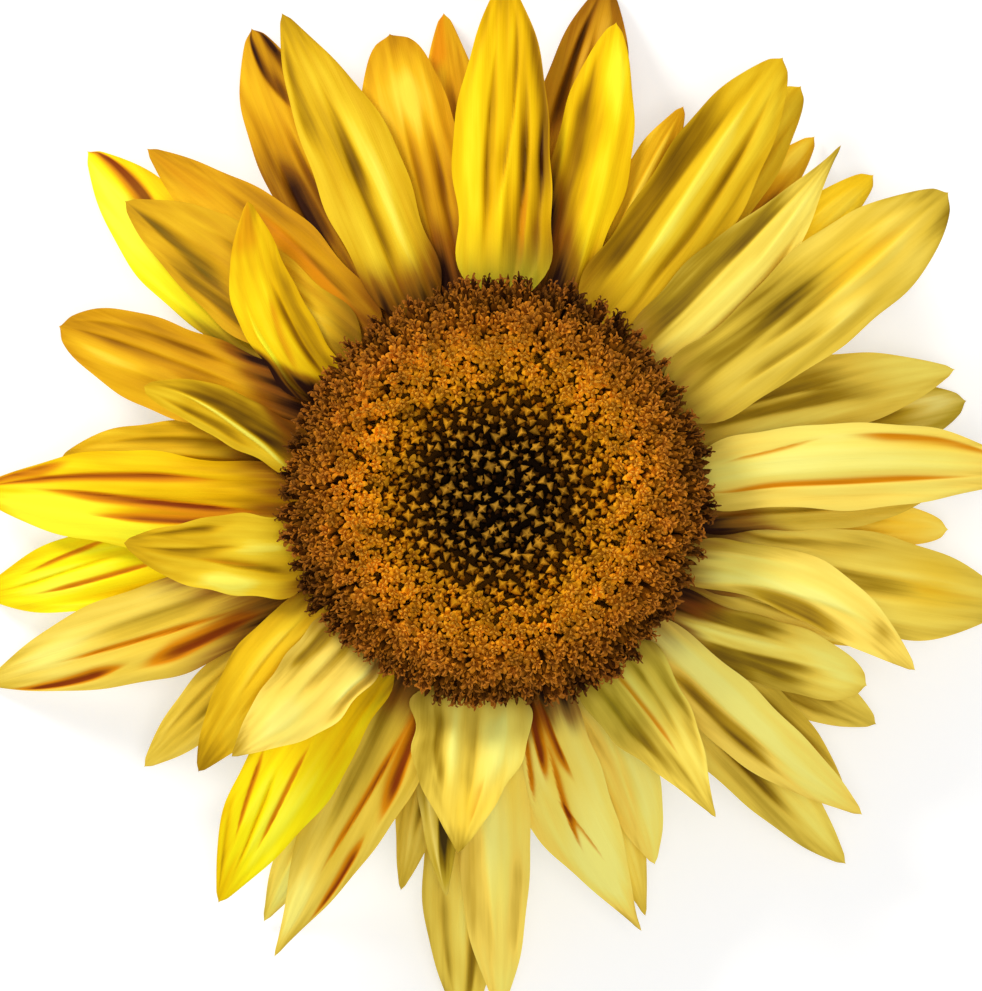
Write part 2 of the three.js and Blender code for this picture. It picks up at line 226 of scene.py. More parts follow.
def smoothstep(low, high, value):
    """0 below low, 1 above high and between them t^2 * (3 - 2 t), with t the share of the way."""
    t = np.clip((value - low) / (high - low), 0, 1)
    return t * t * (3 - 2 * t)


print("spline weights in the middle of four knots", spline_weights(range(4), np.array([1.5])).round(3))

# %% [markdown]
# ## Helpers for finishes
#
# A finish is a tree of shader nodes. Written node by node it hides its own idea, so a small class wraps a
# socket and lets Python's operators make the Math nodes: `1 - mask * 0.5` is two nodes. All other nodes
# come from one method that takes the node's type, its settings and its inputs.

# %% Shader expressions


def linear(code):
    """The linear red, green and blue of a colour written as six hexadecimal digits."""
    parts = np.array([int(code[i:i + 2], 16) for i in (0, 2, 4)]) / 255
    return tuple(np.where(parts <= 0.04045, parts / 12.92, ((parts + 0.055) / 1.055) ** 2.4))


class Value:
    """A shader socket that can be used in Python arithmetic."""

    def __init__(self, finish, socket):
        self.finish = finish
        self.socket = socket

    def __add__(self, other):
        return self.finish.math("ADD", self, other)

    def __sub__(self, other):
        return self.finish.math("SUBTRACT", self, other)

    def __rsub__(self, other):
        return self.finish.math("SUBTRACT", other, self)

    def __mul__(self, other):
        return self.finish.math("MULTIPLY", self, other)

    __radd__ = __add__
    __rmul__ = __mul__

    def ramp(self, low, high):
        """0 below low, 1 above high, smooth between."""
        settings = {"interpolation_type": "SMOOTHSTEP"}
        inputs = {"Value": self, "From Min": low, "From Max": high}
        return self.finish.node("MapRange", settings, inputs)

    def clamp(self):
        """The value kept between 0 and 1."""
        return self.finish.node("Clamp", {}, {"Value": self})


# %% [markdown]
# The second class holds one material: its tree and a method for each kind of node used here. Where a
# finish varies, the variation comes from values stored with the points or from noise in the piece's own
# coordinates, never from where the viewer stands, so it stays put when the flower is turned.

# %% A finish


class Finish:
    """One material: its node tree and the few ways to add to it."""

    def __init__(self, name, roughness=0.6, specular=0.35):
        self.material = bpy.data.materials.new(name)
        self.material.use_nodes = True
        self.tree = self.material.node_tree
        self.shader = self.tree.nodes["Principled BSDF"]
        self.shader.inputs["Roughness"].default_value = roughness
        self.shader.inputs["Specular IOR Level"].default_value = specular

    def node(self, kind, settings, inputs, output=0):
        """A node of a type: settings first, then values or links for its inputs; gives one output."""
        made = self.tree.nodes.new("ShaderNode" + kind)
        for key, value in settings.items():
            if key == "stops":
                ramp = made.color_ramp
                while len(ramp.elements) < len(value):
                    ramp.elements.new(0.5)
                for element, (place, colour) in zip(ramp.elements, value):
                    element.position = place
                    element.color = (*colour, 1)
            else:
                setattr(made, key, value)
        for key, value in inputs.items():
            self.feed(made.inputs[key], value)
        return Value(self, made.outputs[output])

    def feed(self, target, value):
        """Links a value to an input, or sets the input to a plain number or colour."""
        if isinstance(value, Value):
            self.tree.links.new(value.socket, target)
        elif isinstance(value, tuple) and len(value) == 3 and target.type == "RGBA":
            target.default_value = (*value, 1)
        else:
            target.default_value = value

    def math(self, operation, a, b):
        """One Math node."""
        return self.node("Math", {"operation": operation}, {0: a, 1: b})

    def mix(self, amount, a, b):
        """Colour a where the amount is 0, colour b where it is 1."""
        return self.node("Mix", {"data_type": "RGBA"}, {0: amount, 6: a, 7: b}, output=2)

    def stored(self, name, output="Fac"):
        """A value (output Fac) or colour (output Color) stored with the points."""
        return self.node("Attribute", {"attribute_name": name}, {}, output=output)

    def vector(self, x, y, z):
        """Three values as one place."""
        return self.node("CombineXYZ", {}, {0: x, 1: y, 2: z})

    def place(self):
        """The point's place in the piece's own coordinates, in metres."""
        return self.node("TexCoord", {}, {}, output="Object")

    def noise(self, where, scale, detail=3.0, rough=0.55):
        """Soft random grain about 0.5, with a grain size of one over the scale."""
        inputs = {"Vector": where, "Scale": scale, "Detail": detail, "Roughness": rough}
        return self.node("TexNoise", {}, inputs, output="Fac")

    def bump(self, height, strength, distance):
        """Fine relief from a height between 0 and 1 that stands for a distance in metres."""
        return self.node("Bump", {}, {"Height": height, "Strength": strength, "Distance": distance})

    def finish(self, colour, roughness=None, normal=None):
        """Feeds the shader and gives the material."""
        self.feed(self.shader.inputs["Base Color"], colour)
        if roughness is not None:
            self.feed(self.shader.inputs["Roughness"], roughness)
        if normal is not None:
            self.feed(self.shader.inputs["Normal"], normal)
        return self.material


print("linear value of mid grey", round(linear("808080")[0], 4))

# %% [markdown]
# ## Floor
#
# The flower lies on pale paper. It is one big square, a little under the lowest petals so that nothing
# cuts through it, and it gives off some light of its own: that keeps the shadows faint, as on a light
# table, without another lamp to lighten the petals too.

# %% Floor
FLOOR_HALF = 3.0
FLOOR_LEVEL = -0.6 * MM
FLOOR_GLOW = 0.5
corners = np.array([[-1, -1], [1, -1], [1, 1], [-1, 1]]) * FLOOR_HALF
floor_points = np.column_stack([corners, np.full(4, FLOOR_LEVEL)])
floor = make_piece("floor", floor_points, [[0, 1, 2, 3]], smooth_angle=None)
paper = Finish("pale_floor", roughness=0.95, specular=0.05)
paper.shader.inputs["Emission Color"].default_value = (1, 1, 1, 1)
paper.shader.inputs["Emission Strength"].default_value = FLOOR_GLOW
floor.data.materials.append(paper.finish(linear("D2D2D2")))
print("floor", 2 * FLOOR_HALF, "m wide")

# %% [markdown]
# ## Petal finishes
#
# A ray petal is a thin yellow sheet with long soft pleats. Its light and shade are painted into its
# colour:
# a painted highlight of lemon or cream on the ridges and painted shade of ochre, olive or brown down in
# the pleats. One finish is made for each shade of petal. The petal's own points store how light or deep
# each place is, and where it is streaked, darkened at the foot or green, because those follow the shape.
# The finish adds what is too fine for the points: veins that run from foot to tip. Painting each petal as
# an image would also do it, but a worked-out finish stays sharp at any size.

# %% Petal shades, from painted shade at the bottom of a pleat to a painted highlight on the brightest ridge
PETAL_SHADES = {
    "lemon": ("4A2200", "AA7E00", "F4CA00", "FFF010", "FFFF40"),
    "sun": ("3E1C00", "9C6E00", "E8B402", "FFD80E", "FFF62C"),
    # A lighter copy of cream: painted light for petals at the lower right, which the lamps light less.
    "ivory": ("6A4A0C", "BC961E", "FFDC5C", "FFEC6E", "FFF582"),
    "cream": ("5E400A", "A88818", "EFCF4C", "FFE966", "FFF77E"),
    "straw": ("523A08", "9C7C12", "E0BE3C", "F8DA58", "FFF076"),
    "gold": ("3E2000", "946C00", "DAAC12", "F2CE2A", "FFF25C"),
    "amber": ("301200", "824E00", "D09408", "EEB818", "FFDA40"),
    "olive": ("40300A", "866A06", "C6A82A", "E8CE5C", "FAEE8C"),
    # A darker copy of amber: painted shade for a back petal that lies in shadow.
    "umber": ("200C00", "5A3200", "9E6404", "CA9012", "EAB430"),
}
SHADE_STOPS = (0.0, 0.24, 0.52, 0.76, 1.0)
WARM_YELLOW, FRESH_GREEN = linear("FFCC0C"), linear("D6D632")
STREAK_ORANGE, STREAK_BROWN = linear("DE8C04"), linear("863602")
# The brown and near-black of the foot: partly the petal's own colour, partly painted shade.
FOOT_STAIN_AND_SHADE_BROWN, FOOT_STAIN_AND_SHADE_BLACK = linear("7A3400"), linear("260A00")
print("shades", list(PETAL_SHADES))

# %% [markdown]
# The lightness stored with the points, which is painted light and shade, picks a colour from the petal's
# five shades. Over that lie, in turn, a warmer yellow, the streaks (orange at their rims and brown in
# their middles), the brown that creeps up from the foot, partly the petal's own colour and partly painted
# shade, and a trace of green. Each is broken up by the veins, so that none of them ends in a clean line.
# The veins are noise stretched along the petal; the seed moves it for each petal.

# %% Petal finishes


def petal_finish(name, *shades):
    """Five shades by stored lightness, which is painted light and shade, with veins, warmth, streaks, a
    dark foot of its own colour and painted shade, and green.
    """
    finish = Finish("petal_" + name, roughness=0.55, specular=0.07)
    along = finish.stored("along")
    across = finish.stored("across")
    seed = finish.stored("seed")
    veins = finish.noise(finish.vector(along * 1.8, across * 4.2, seed), 1.0, 2.0, 0.5)
    hairlines = finish.noise(finish.vector(along * 5.0, across * 30.0, seed), 1.0, 2.0, 0.5)
    blotch = finish.noise(finish.vector(along * 3.0, across * 1.6, seed + 7.0), 1.0, 2.0, 0.5)
    tone = finish.stored("tone") + (veins - 0.5) * 0.4 + (hairlines - 0.5) * 0.07 + (blotch - 0.5) * 0.5
    stops = list(zip(SHADE_STOPS, shades))
    # The stored lightness gives painted shade in the pleats and a painted highlight on the ridges.
    colour = finish.node("ValToRGB", {"stops": stops}, {0: tone.clamp()})
    warmth = finish.stored("warm") * (veins * 0.8 + 0.5) * tone.ramp(0.1, 0.6)
    colour = finish.mix((warmth * 0.8).clamp(), colour, WARM_YELLOW)
    streak = finish.stored("streak") * (veins * 0.9 + 0.55)
    colour = finish.mix(streak.ramp(0.04, 0.5), colour, STREAK_ORANGE)
    colour = finish.mix(streak.ramp(0.42, 0.95), colour, STREAK_BROWN)
    # The dark foot: partly the petal's own colour, partly painted shade where the head shades it.
    stain = finish.stored("stain") * (veins * 1.9 + 0.1)
    colour = finish.mix(stain.ramp(0.05, 0.6) * 0.8, colour, FOOT_STAIN_AND_SHADE_BROWN)
    colour = finish.mix(stain.ramp(0.45, 1.1), colour, FOOT_STAIN_AND_SHADE_BLACK)
    green = (finish.stored("green") * (veins * 0.7 + 0.5)).clamp()
    colour = finish.mix(green, colour, FRESH_GREEN)
    normal = finish.bump(veins * 0.6 + hairlines * 0.4, 0.3, 0.0004)
    return finish.finish(colour, roughness=0.5 + veins * 0.2, normal=normal)


petal_finishes = {
    name: petal_finish(name, *map(linear, codes)) for name, codes in PETAL_SHADES.items()
}
print("petal finishes", len(petal_finishes))

# %% [markdown]
# ## Petals
#
# Each packed petal is a plate on a lattice of nine stations with five points across, so the lattice can
# be read back from it: sort its points along the line from foot to tip, then across. A spline through the
# lattice gives a smooth sheet. Pleats, a rolled edge and long waves then move the sheet along its own
# normal. Reading the lattice back, and not drawing the petals again, keeps each where the solid is.

# %% Read a petal's lattice
STATIONS = 9
ACROSS = 5


def petal_lattice(name):
    """The middle surface of a packed petal: stations from foot to tip, each with its points across."""
    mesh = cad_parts[name].data
    flat = np.empty(len(mesh.vertices) * 3, np.float32)
    mesh.vertices.foreach_get("co", flat)
    points = np.unique(flat.reshape(-1, 3), axis=0).astype(float)
    plan = points[:, :2]
    line = np.linalg.svd(plan - plan.mean(0))[2][0]
    line = line * np.sign(line @ (plan.mean(0) - [AXIS_X, AXIS_Y]))
    for _ in range(4):
        order = np.argsort(plan @ line)
        foot = plan[order[:ACROSS * 2]].mean(0)
        tip = plan[order[-ACROSS * 2:]].mean(0)
        line = (tip - foot) / np.linalg.norm(tip - foot)
    side = np.array([-line[1], line[0]])
    stations = points[np.argsort(plan @ line)].reshape(STATIONS, ACROSS * 2, 3)
    order = np.argsort(stations[..., :2] @ side + stations[..., 2] * 1e-3, axis=1)
    stations = np.take_along_axis(stations, order[..., None], axis=1)
    middle = stations.reshape(STATIONS, ACROSS, 2, 3).mean(2)
    share = (middle[:, 2, :2] - foot) @ line / np.linalg.norm(tip - foot)
    return middle, np.clip(share, 0, 1)


first_lattice, first_share = petal_lattice("petal_front_01")
print("lattice", first_lattice.shape, "foot at", first_lattice[0, ACROSS // 2].round(4))

# %% [markdown]
# A petal's character is a handful of marks. A fold is a soft pleat darkened with painted shade and a
# ridge a raised one lightened with a painted highlight: both run along the petal between two places and
# may drift sideways on the way. A streak is a fold filled with orange or brown. A half is one side of the
# petal in painted shade, from a crisp line to the edge. A light is a soft painted highlight and a warm
# one is a deeper yellow. The same marks shape the sheet and tint it, so every line of painted shade on a
# petal lies on a real dip.

# %% Marks on a petal


def fold(side, width, amount, start, end, drift=0.0):
    """A pleat at side (-1 to 1 across), its width and depth, and its stretch from foot 0 to tip 1; it is
    darkened with painted shade.
    """
    return ("fold", side, width, amount, start, end, drift)


def ridge(side, width, amount, start, end, drift=0.0):
    """A pleat that stands up instead of dipping, lightened with a painted highlight."""
    return ("fold", side, width, -amount, start, end, drift)


def streak(side, width, amount, start, end, drift=0.0):
    """A shallow pleat filled with orange, or with brown where the amount is large."""
    return ("streak", side, width, amount, start, end, drift)


def half(side, towards, amount, start, end, drift=0.0):
    """One side of the petal in painted shade, a little lowered, from a crisp line at side towards the
    edge at 1 or -1.
    """
    return ("half", side, towards, amount, start, end, drift)


def light(along, side, long, wide, amount):
    """A soft painted highlight on a slight rise round one place, with its reach along and across the
    petal; a negative amount paints shade.
    """
    return ("light", along, side, long, wide, amount)


def warm(along, side, long, wide, amount):
    """A patch where the petal is a deeper, warmer yellow."""
    return ("warm", along, side, long, wide, amount)


# %% [markdown]
# Real pleats aren't even grooves: the side that faces the petal's edge is steep and the other runs out
# gently, and both ends fade. So each long mark is a bell across the petal with a different width on
# either side. Places are given as u, the share of the way from foot to tip, and v, from -1 to 1 across.

# %% How strongly a mark is felt
STEEP_SIDE, GENTLE_SIDE = 2.3, 0.75


def band(mark, u, v):
    """A bell across the petal, amount * exp(-across^2), steep on its outer side, faded at its ends."""
    _, side, width, amount, start, end, drift = mark
    middle = (start + end) / 2
    ease = (end - start) * 0.3
    centre = side + drift * (u - middle) / (end - start)
    run = smoothstep(start - 0.05, start + ease, u) * smoothstep(end + 0.06, end - ease, u)
    taper = width * (0.45 + 0.65 * run)
    across = (v - centre) / taper * (1 if side > 0 else -1)
    across = np.where(across > 0, across * STEEP_SIDE, across * GENTLE_SIDE)
    return amount * run * np.exp(-(across**2))


def half_shade(mark, u, v):
    """A step across the petal at the mark's line, fading towards the edge and at both ends."""
    _, side, towards, amount, start, end, drift = mark
    line = side + drift * (u - (start + end) / 2) / (end - start)
    fade_in = smoothstep(start - 0.05, start + 0.25 * (end - start), u)
    fade_out = smoothstep(end + 0.05, end * 0.65 + start * 0.35, u)
    run = fade_in * fade_out
    depth = (v - line) * towards
    return amount * run * smoothstep(-0.06, 0.1, depth) * (1 - 0.55 * smoothstep(0.15, 1.1, depth))


def marked(marks, u, v):
    """The sum of a petal's marks of each kind, at every point of its grid."""
    total = {kind: 0 * u * v for kind in ("fold", "streak", "light", "warm", "half")}
    for mark in marks:
        if mark[0] in ("light", "warm"):
            kind, along, side, long, wide, amount = mark
            total[kind] += amount * np.exp(-(((u - along) / long) ** 2) - ((v - side) / wide) ** 2)
        elif mark[0] == "half":
            total["half"] += half_shade(mark, u, v)
        else:
            total[mark[0]] += band(mark, u, v)
    return total


print("a fold at its middle", band(fold(0.2, 0.1, 0.8, 0.2, 0.6), 0.4, 0.2).round(3))

# %% [markdown]
# The sheet comes from the lattice in three moves. The spline gives its broad shape: stations are splined
# against the square root of the distance from the tip, which keeps a round tip round. The outline then
# wanders by a few hundredths of the width, since no petal is cut with a knife. Last, the final fortieth
# closes as half an ellipse.

# %% The sheet of a petal
FINE_ALONG = 84
FINE_ACROSS = 53
TIP_START = 0.975


def fine_sheet(lattice, share, turn):
    """A fine sheet through the lattice, with u and v at its points and half its width at each u."""
    root_knots = np.sqrt(1 - share)[::-1]
    fine = np.linspace(1, 0, FINE_ALONG)
    weights_along = spline_weights(root_knots, fine)[:, ::-1]
    v = np.linspace(-1, 1, FINE_ACROSS)
    weights_across = spline_weights(np.linspace(-1, 1, ACROSS), v)
    sheet = np.einsum("is,sac,ja->ijc", weights_along, lattice, weights_across)
    u = (1 - fine**2)[:, None]
    v = v[None, :]
    breadth = sheet[:, -1:] - sheet[:, :1]
    half_width = np.linalg.norm(breadth, axis=2) / 2
    wander = 0.055 * np.sin(2 * np.pi * (1.5 * u + turn + 0.2 * np.sign(v))) * np.abs(v) ** 3
    wander = wander + 0.02 * np.sin(2 * np.pi * (4.3 * u + turn * 5 + 0.4 * np.sign(v))) * v**4
    sheet = sheet + breadth / 2 * (np.sign(v) * wander * smoothstep(0, 0.3, u))[..., None]
    closed = np.clip((u - TIP_START) / (1 - TIP_START), 0, 1)
    closing = np.sqrt(np.clip(1 - closed**2, 0.004, 1))
    spine = sheet[:, FINE_ACROSS // 2:FINE_ACROSS // 2 + 1]
    return spine + (sheet - spine) * closing[..., None], u, v, half_width


def upward_normal(sheet):
    """The direction square to the sheet at each point, on the side that faces up."""
    normal = np.cross(np.gradient(sheet, axis=0), np.gradient(sheet, axis=1))
    normal = normal / np.maximum(np.linalg.norm(normal, axis=2, keepdims=True), 1e-12)
    return normal * np.sign(normal[FINE_ALONG // 2, FINE_ACROSS // 2, 2])


first_sheet, first_u, first_v, first_half = fine_sheet(first_lattice, first_share, 0.0)
print("fine sheet", first_sheet.shape, "widest", round(2 * first_half.max() / MM, 1), "mm")

# %% [markdown]
# Each point then moves along its normal. Marks make the pleats; a faint ripple fills the plain parts; a
# petal may be cupped, rolled to one side, frilled at its edges or waved along its length. All but the
# waves are shares of half the width, so a narrow petal gets shallow pleats. Everything fades at the tip,
# which would otherwise curl up into a knot.

# %% Relief and tint of a petal


def relief(total, nature, u, v, half_width, turn):
    """How far each point moves along its normal, and the faint ripple on its own."""
    blunt = smoothstep(1.0, 0.86, u)
    ripple = np.cos(2 * np.pi * (2.4 * v + turn * 3 + 0.15 * np.sin(4 * u + turn * 9))) * blunt
    mound = total["light"] - total["fold"] - 0.6 * total["streak"] - 0.5 * total["half"]
    bowl = np.sqrt(np.clip(np.sin(np.pi * u), 0, 1))
    frill = np.abs(v) ** 3 * np.sin(2 * np.pi * (2.3 * u + turn)) * blunt
    height = half_width * (0.13 * mound * blunt + 0.012 * ripple)
    height = height + half_width * nature["cup"] * (v**2 - 0.4) * bowl
    height = height + half_width * nature["roll"] * v * u
    height = height + half_width * 0.05 * frill
    height = height + nature["wave"] * MM * np.sin(2 * np.pi * (1.15 * u + turn)) * u * (1 - u) * 4
    return height, ripple


def petal_tone(total, nature, u, v, ripple):
    """Painted lightness, from 0, painted shade deep in a pleat, to 1, a painted highlight on a ridge;
    plain petal is 0.6.
    """
    # Ridges and lights raise the lightness as painted highlights, folds and halves lower it as painted
    # shade, and streaks lower it a little.
    tone = 0.6 + 0.56 * total["light"] - 0.52 * total["fold"]
    tone = tone - 0.13 * total["streak"] - 0.44 * total["half"]
    # The ripple of the sheet gets faint painted shade and highlight of its own.
    tone = tone + 0.03 * ripple
    # Darker towards the foot.
    tone = tone - 0.14 * smoothstep(0.35, 0.0, u)
    # One side lighter than the other is painted light; the tip is darker.
    tone = tone + nature["side"] * v * 0.12 - nature["tip"] * smoothstep(0.78, 1.0, u)
    return tone - nature["edge"] * smoothstep(0.7, 1.0, np.abs(v))


def petal_values(total, nature, u, v, half_width, ripple, seed):
    """What the finish reads at each point; the dark foot, partly painted shade, climbs to its reach,
    higher on the leaning side.
    """
    slope = nature["reach"] * (nature["lean"] * v - 0.5 * v**2)
    # The dark foot: the petal's own colour there together with painted shade from the head.
    foot = smoothstep(nature["reach"] * 1.6 + 0.08, 0.02, u + slope)
    green_fade = smoothstep(nature["green_to"] + 0.15, nature["green_to"] - 0.15, u)
    return {
        "along": u + 0 * v,
        "across": v * half_width / (6 * MM),
        "tone": petal_tone(total, nature, u, v, ripple),
        "seed": seed * 3.7 + 0 * u * v,
        "streak": np.clip(total["streak"], 0, 1),
        "stain": nature["foot"] * foot,
        "warm": np.clip(total["warm"], 0, 1),
        "green": nature["green"] * green_fade + 0 * v,
    }


first_nature = {"cup": 0.05, "roll": 0.0, "wave": 0.3}
first_height, _ = relief(marked([], first_u, first_v), first_nature, first_u, first_v, first_half, 0.0)
print("relief of a petal without marks", round(np.ptp(first_height) / MM, 2), "mm")

# %% [markdown]
# One call makes one petal. The sheet gets a thickness of a third of a millimetre that thins towards its
# edges, takes the place of its packed petal, and rides where that one rode. The foot of a petal in a
# lower row is darker, and dark further up, as painted shade, because it stands deeper in the shade of the
# head. A petal's nature is a few more shares: how far its dark foot leans to one side, how dark its tip
# and edge are, how much lighter one side is than the other as painted light, how cupped and rolled it
# is, and how green its foot is and up to where.

# %% Make a petal
PETAL_THICKNESS = 0.34 * MM
USUAL = dict(lean=0.0, tip=0.12, side=0.3, edge=0.0, cup=0.05, roll=0.0, wave=0.3, green=0.0,
             green_to=0.1)
# How dark and how far up the foot is in each row: the back row, deepest in the head's shade, gets the
# most painted shade.
STAINED_AND_SHADED_FOOT = {"back": (0.95, 0.28), "middle": (0.6, 0.14), "front": (0.45, 0.12)}
rays = []


def petal(name, shade, *marks, foot=None, reach=None, **nature):
    """Makes one finished petal in place of a packed one; waves in millimetres, all else as shares."""
    row = name.split("_")[0]
    row_foot, row_reach = STAINED_AND_SHADED_FOOT[row]
    nature = {**USUAL, **nature}
    nature["foot"] = row_foot if foot is None else foot
    nature["reach"] = row_reach if reach is None else reach
    seed = len(rays) + 1
    turn = (seed * 0.618) % 1
    sheet, u, v, half_width = fine_sheet(*petal_lattice("petal_" + name), turn)
    normal = upward_normal(sheet)
    total = marked(marks, u, v)
    height, ripple = relief(total, nature, u, v, half_width, turn)
    sheet = sheet + normal * height[..., None]
    values = petal_values(total, nature, u, v, half_width, ripple, seed)
    thinned = 0.3 + 0.7 * (1 - v[..., None] ** 4)
    thick = PETAL_THICKNESS / 2 * thinned * np.ones((FINE_ALONG, 1, 1))
    points, faces = sheet_between(sheet + normal * thick, sheet - normal * thick)
    doubled_values = {key: doubled(array) for key, array in values.items()}
    made = make_piece("ray_" + name, points, faces, doubled_values)
    made.data.materials.append(petal_finishes[shade])
    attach(made, "root")
    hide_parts("petal_" + name)
    rays.append(made)


# %% [markdown]
# ## Each petal's character
#
# No two petals are alike, so each has its own line: its shade and its marks. Petals at the upper left are
# deeper gold with brown painted shade in their folds, those at the right and below are cream and straw,
# many of them lightened as painted light, and a few are pure lemon with brown streaks.

# %% The front row
petal("front_01", "gold", fold(0.5, 0.3, 0.45, 0.1, 0.8), fold(0.12, 0.12, 0.7, 0.04, 0.66, -0.2),
      fold(0.75, 0.2, 0.6, 0.6, 0.9), fold(-0.1, 0.1, 0.4, 0.4, 0.75),
      light(0.3, 0.5, 0.22, 0.22, 0.6), light(0.36, -0.35, 0.3, 0.22, 0.7), foot=0.8, tip=0.22)
petal("front_02", "sun", fold(0.33, 0.1, 0.75, 0.18, 0.78, -0.15),
      fold(-0.18, 0.1, 0.75, 0.3, 0.86, -0.6), fold(-0.4, 0.1, 0.8, 0.04, 0.66, -0.3),
      streak(-0.42, 0.08, 0.4, 0.02, 0.4, -0.2), fold(-0.75, 0.1, 0.7, 0.08, 0.55, -0.2),
      fold(-0.95, 0.15, 0.6, 0.3, 0.9), ridge(0.7, 0.25, 0.3, 0.1, 0.8),
      ridge(-0.05, 0.12, 0.4, 0.1, 0.7, -0.3), foot=0.5, lean=0.8, green=0.75, green_to=0.12,
      side=0.2)
petal("front_03", "gold", warm(0.7, 0.2, 0.3, 0.4, 0.5), half(0.4, 1, 0.9, 0.04, 0.92, -0.1),
      ridge(0.1, 0.16, 0.85, 0.18, 0.88, 0.2), fold(-0.42, 0.1, 0.7, 0.1, 0.9, 0.15),
      light(0.9, -0.3, 0.1, 0.4, 0.2), foot=0.3)
petal("front_04", "cream", warm(0.6, 0.4, 0.3, 0.4, 0.4), half(0.26, 1, 1.15, 0.02, 0.88, 0.2),
      fold(-0.75, 0.12, 0.6, 0.2, 0.7), fold(-0.15, 0.1, 0.3, 0.5, 0.75, 0.1),
      light(0.5, -0.25, 0.4, 0.3, 0.45), foot=0.35, tip=0.35, side=-0.1)
petal("front_05", "straw", warm(0.7, 0.1, 0.16, 0.6, 0.9), half(0.12, 1, 0.75, 0.08, 0.62, 0.25),
      fold(0.36, 0.12, 0.5, 0.3, 0.8), fold(-0.04, 0.1, 0.75, 0.3, 0.86, 0.1),
      fold(-0.52, 0.09, 0.6, 0.2, 0.6), streak(0.12, 0.12, 0.16, 0.5, 0.9, 0.1),
      light(0.7, -0.12, 0.14, 0.22, 0.95), light(0.56, -0.5, 0.09, 0.16, 0.8),
      light(0.85, -0.6, 0.1, 0.3, 0.3), light(0.75, 0.3, 0.14, 0.2, 0.6), foot=0.3, tip=0.28)
petal("front_06", "ivory", warm(0.75, 0.6, 0.12, 0.25, 0.7),
      streak(0.72, 0.13, 0.5, 0.48, 0.98, 0.05), streak(-0.42, 0.08, 0.62, 0.0, 0.92, 0.12),
      streak(0.5, 0.06, 0.35, 0.12, 0.4, 0.3), light(0.4, 0.1, 0.4, 0.4, 0.75), foot=0.2, green=0.2)
petal("front_07", "ivory", half(-0.25, -1, 0.6, 0.1, 0.74, -0.3), half(0.5, 1, 0.5, 0.05, 0.5, 0.3),
      ridge(-0.3, 0.3, 0.9, 0.05, 0.8, 1.1), light(0.83, 0.2, 0.05, 0.7, -0.5),
      fold(-0.8, 0.22, 0.6, 0.25, 0.8), light(0.15, -0.4, 0.12, 0.4, 0.5), foot=0.5, green=0.08,
      green_to=0.4, cup=0.14)
petal("front_08", "cream", half(-0.1, -1, 0.55, 0.08, 0.9), fold(0.36, 0.12, 0.5, 0.06, 0.66),
      streak(-0.02, 0.07, 0.45, 0.03, 0.68, 0.15), fold(-0.55, 0.12, 0.4, 0.1, 0.6),
      fold(0.85, 0.15, 0.5, 0.1, 0.8), light(0.25, 0.1, 0.2, 0.2, 0.3), foot=0.5, green=0.2,
      green_to=0.4)
petal("front_09", "cream", half(-0.6, -1, 0.5, 0.1, 0.8), warm(0.75, 0.3, 0.18, 0.8, 0.7),
      fold(0.12, 0.14, 0.6, 0.1, 0.75, 0.1), fold(-0.55, 0.12, 0.6, 0.12, 0.65),
      streak(0.42, 0.09, 0.28, 0.55, 0.85), light(0.35, 0.55, 0.25, 0.25, 0.85),
      light(0.4, -0.25, 0.2, 0.16, 0.8), foot=0.25, tip=0.3)
petal("front_10", "ivory", half(-0.45, -1, 0.5, 0.05, 0.7), warm(0.6, -0.2, 0.2, 0.6, 0.35),
      light(0.66, 0.0, 0.14, 0.5, 0.95), fold(-0.08, 0.16, 0.45, 0.06, 0.5),
      fold(-0.7, 0.12, 0.45, 0.06, 0.45), ridge(0.72, 0.08, 0.7, 0.05, 0.4, -0.1),
      fold(0.9, 0.12, 0.6, 0.05, 0.5), foot=0.4, tip=0.36)
petal("front_11", "gold", light(0.45, 0.7, 0.14, 0.25, 0.8), fold(0.3, 0.09, 0.6, 0.15, 0.55, -0.25),
      fold(-0.1, 0.1, 0.6, 0.4, 0.9, 0.3), streak(0.2, 0.06, 0.3, 0.25, 0.65, -0.1),
      fold(-0.72, 0.12, 0.6, 0.5, 0.85), light(0.3, -0.2, 0.15, 0.3, 0.4), foot=0.45, tip=0.22)
petal("front_12", "gold", ridge(0.28, 0.1, 0.95, 0.06, 0.82, -0.95),
      half(0.12, -1, 1.1, 0.02, 0.96, -1.0), fold(0.6, 0.2, 0.6, 0.3, 0.9, -0.3), foot=0.6,
      reach=0.14, lean=1.2)
petal("front_13", "sun", ridge(0.66, 0.07, 1.0, 0.03, 0.55, -0.1),
      streak(0.1, 0.14, 0.32, 0.15, 0.6, -0.5), fold(-0.36, 0.08, 0.7, 0.06, 0.62),
      half(-0.4, -1, 0.35, 0.06, 0.8), streak(0.0, 0.9, 0.3, 0.75, 1.05),
      light(0.5, 0.2, 0.2, 0.4, 0.35), foot=1.1, reach=0.08, lean=-2.4)
print("front petals", len(rays))

# %% [markdown]
# The middle row shows between and beyond the front petals. Those at the upper left are amber, as the
# front ones there are gold; two at the bottom and one at the lower left carry the strongest streaks.

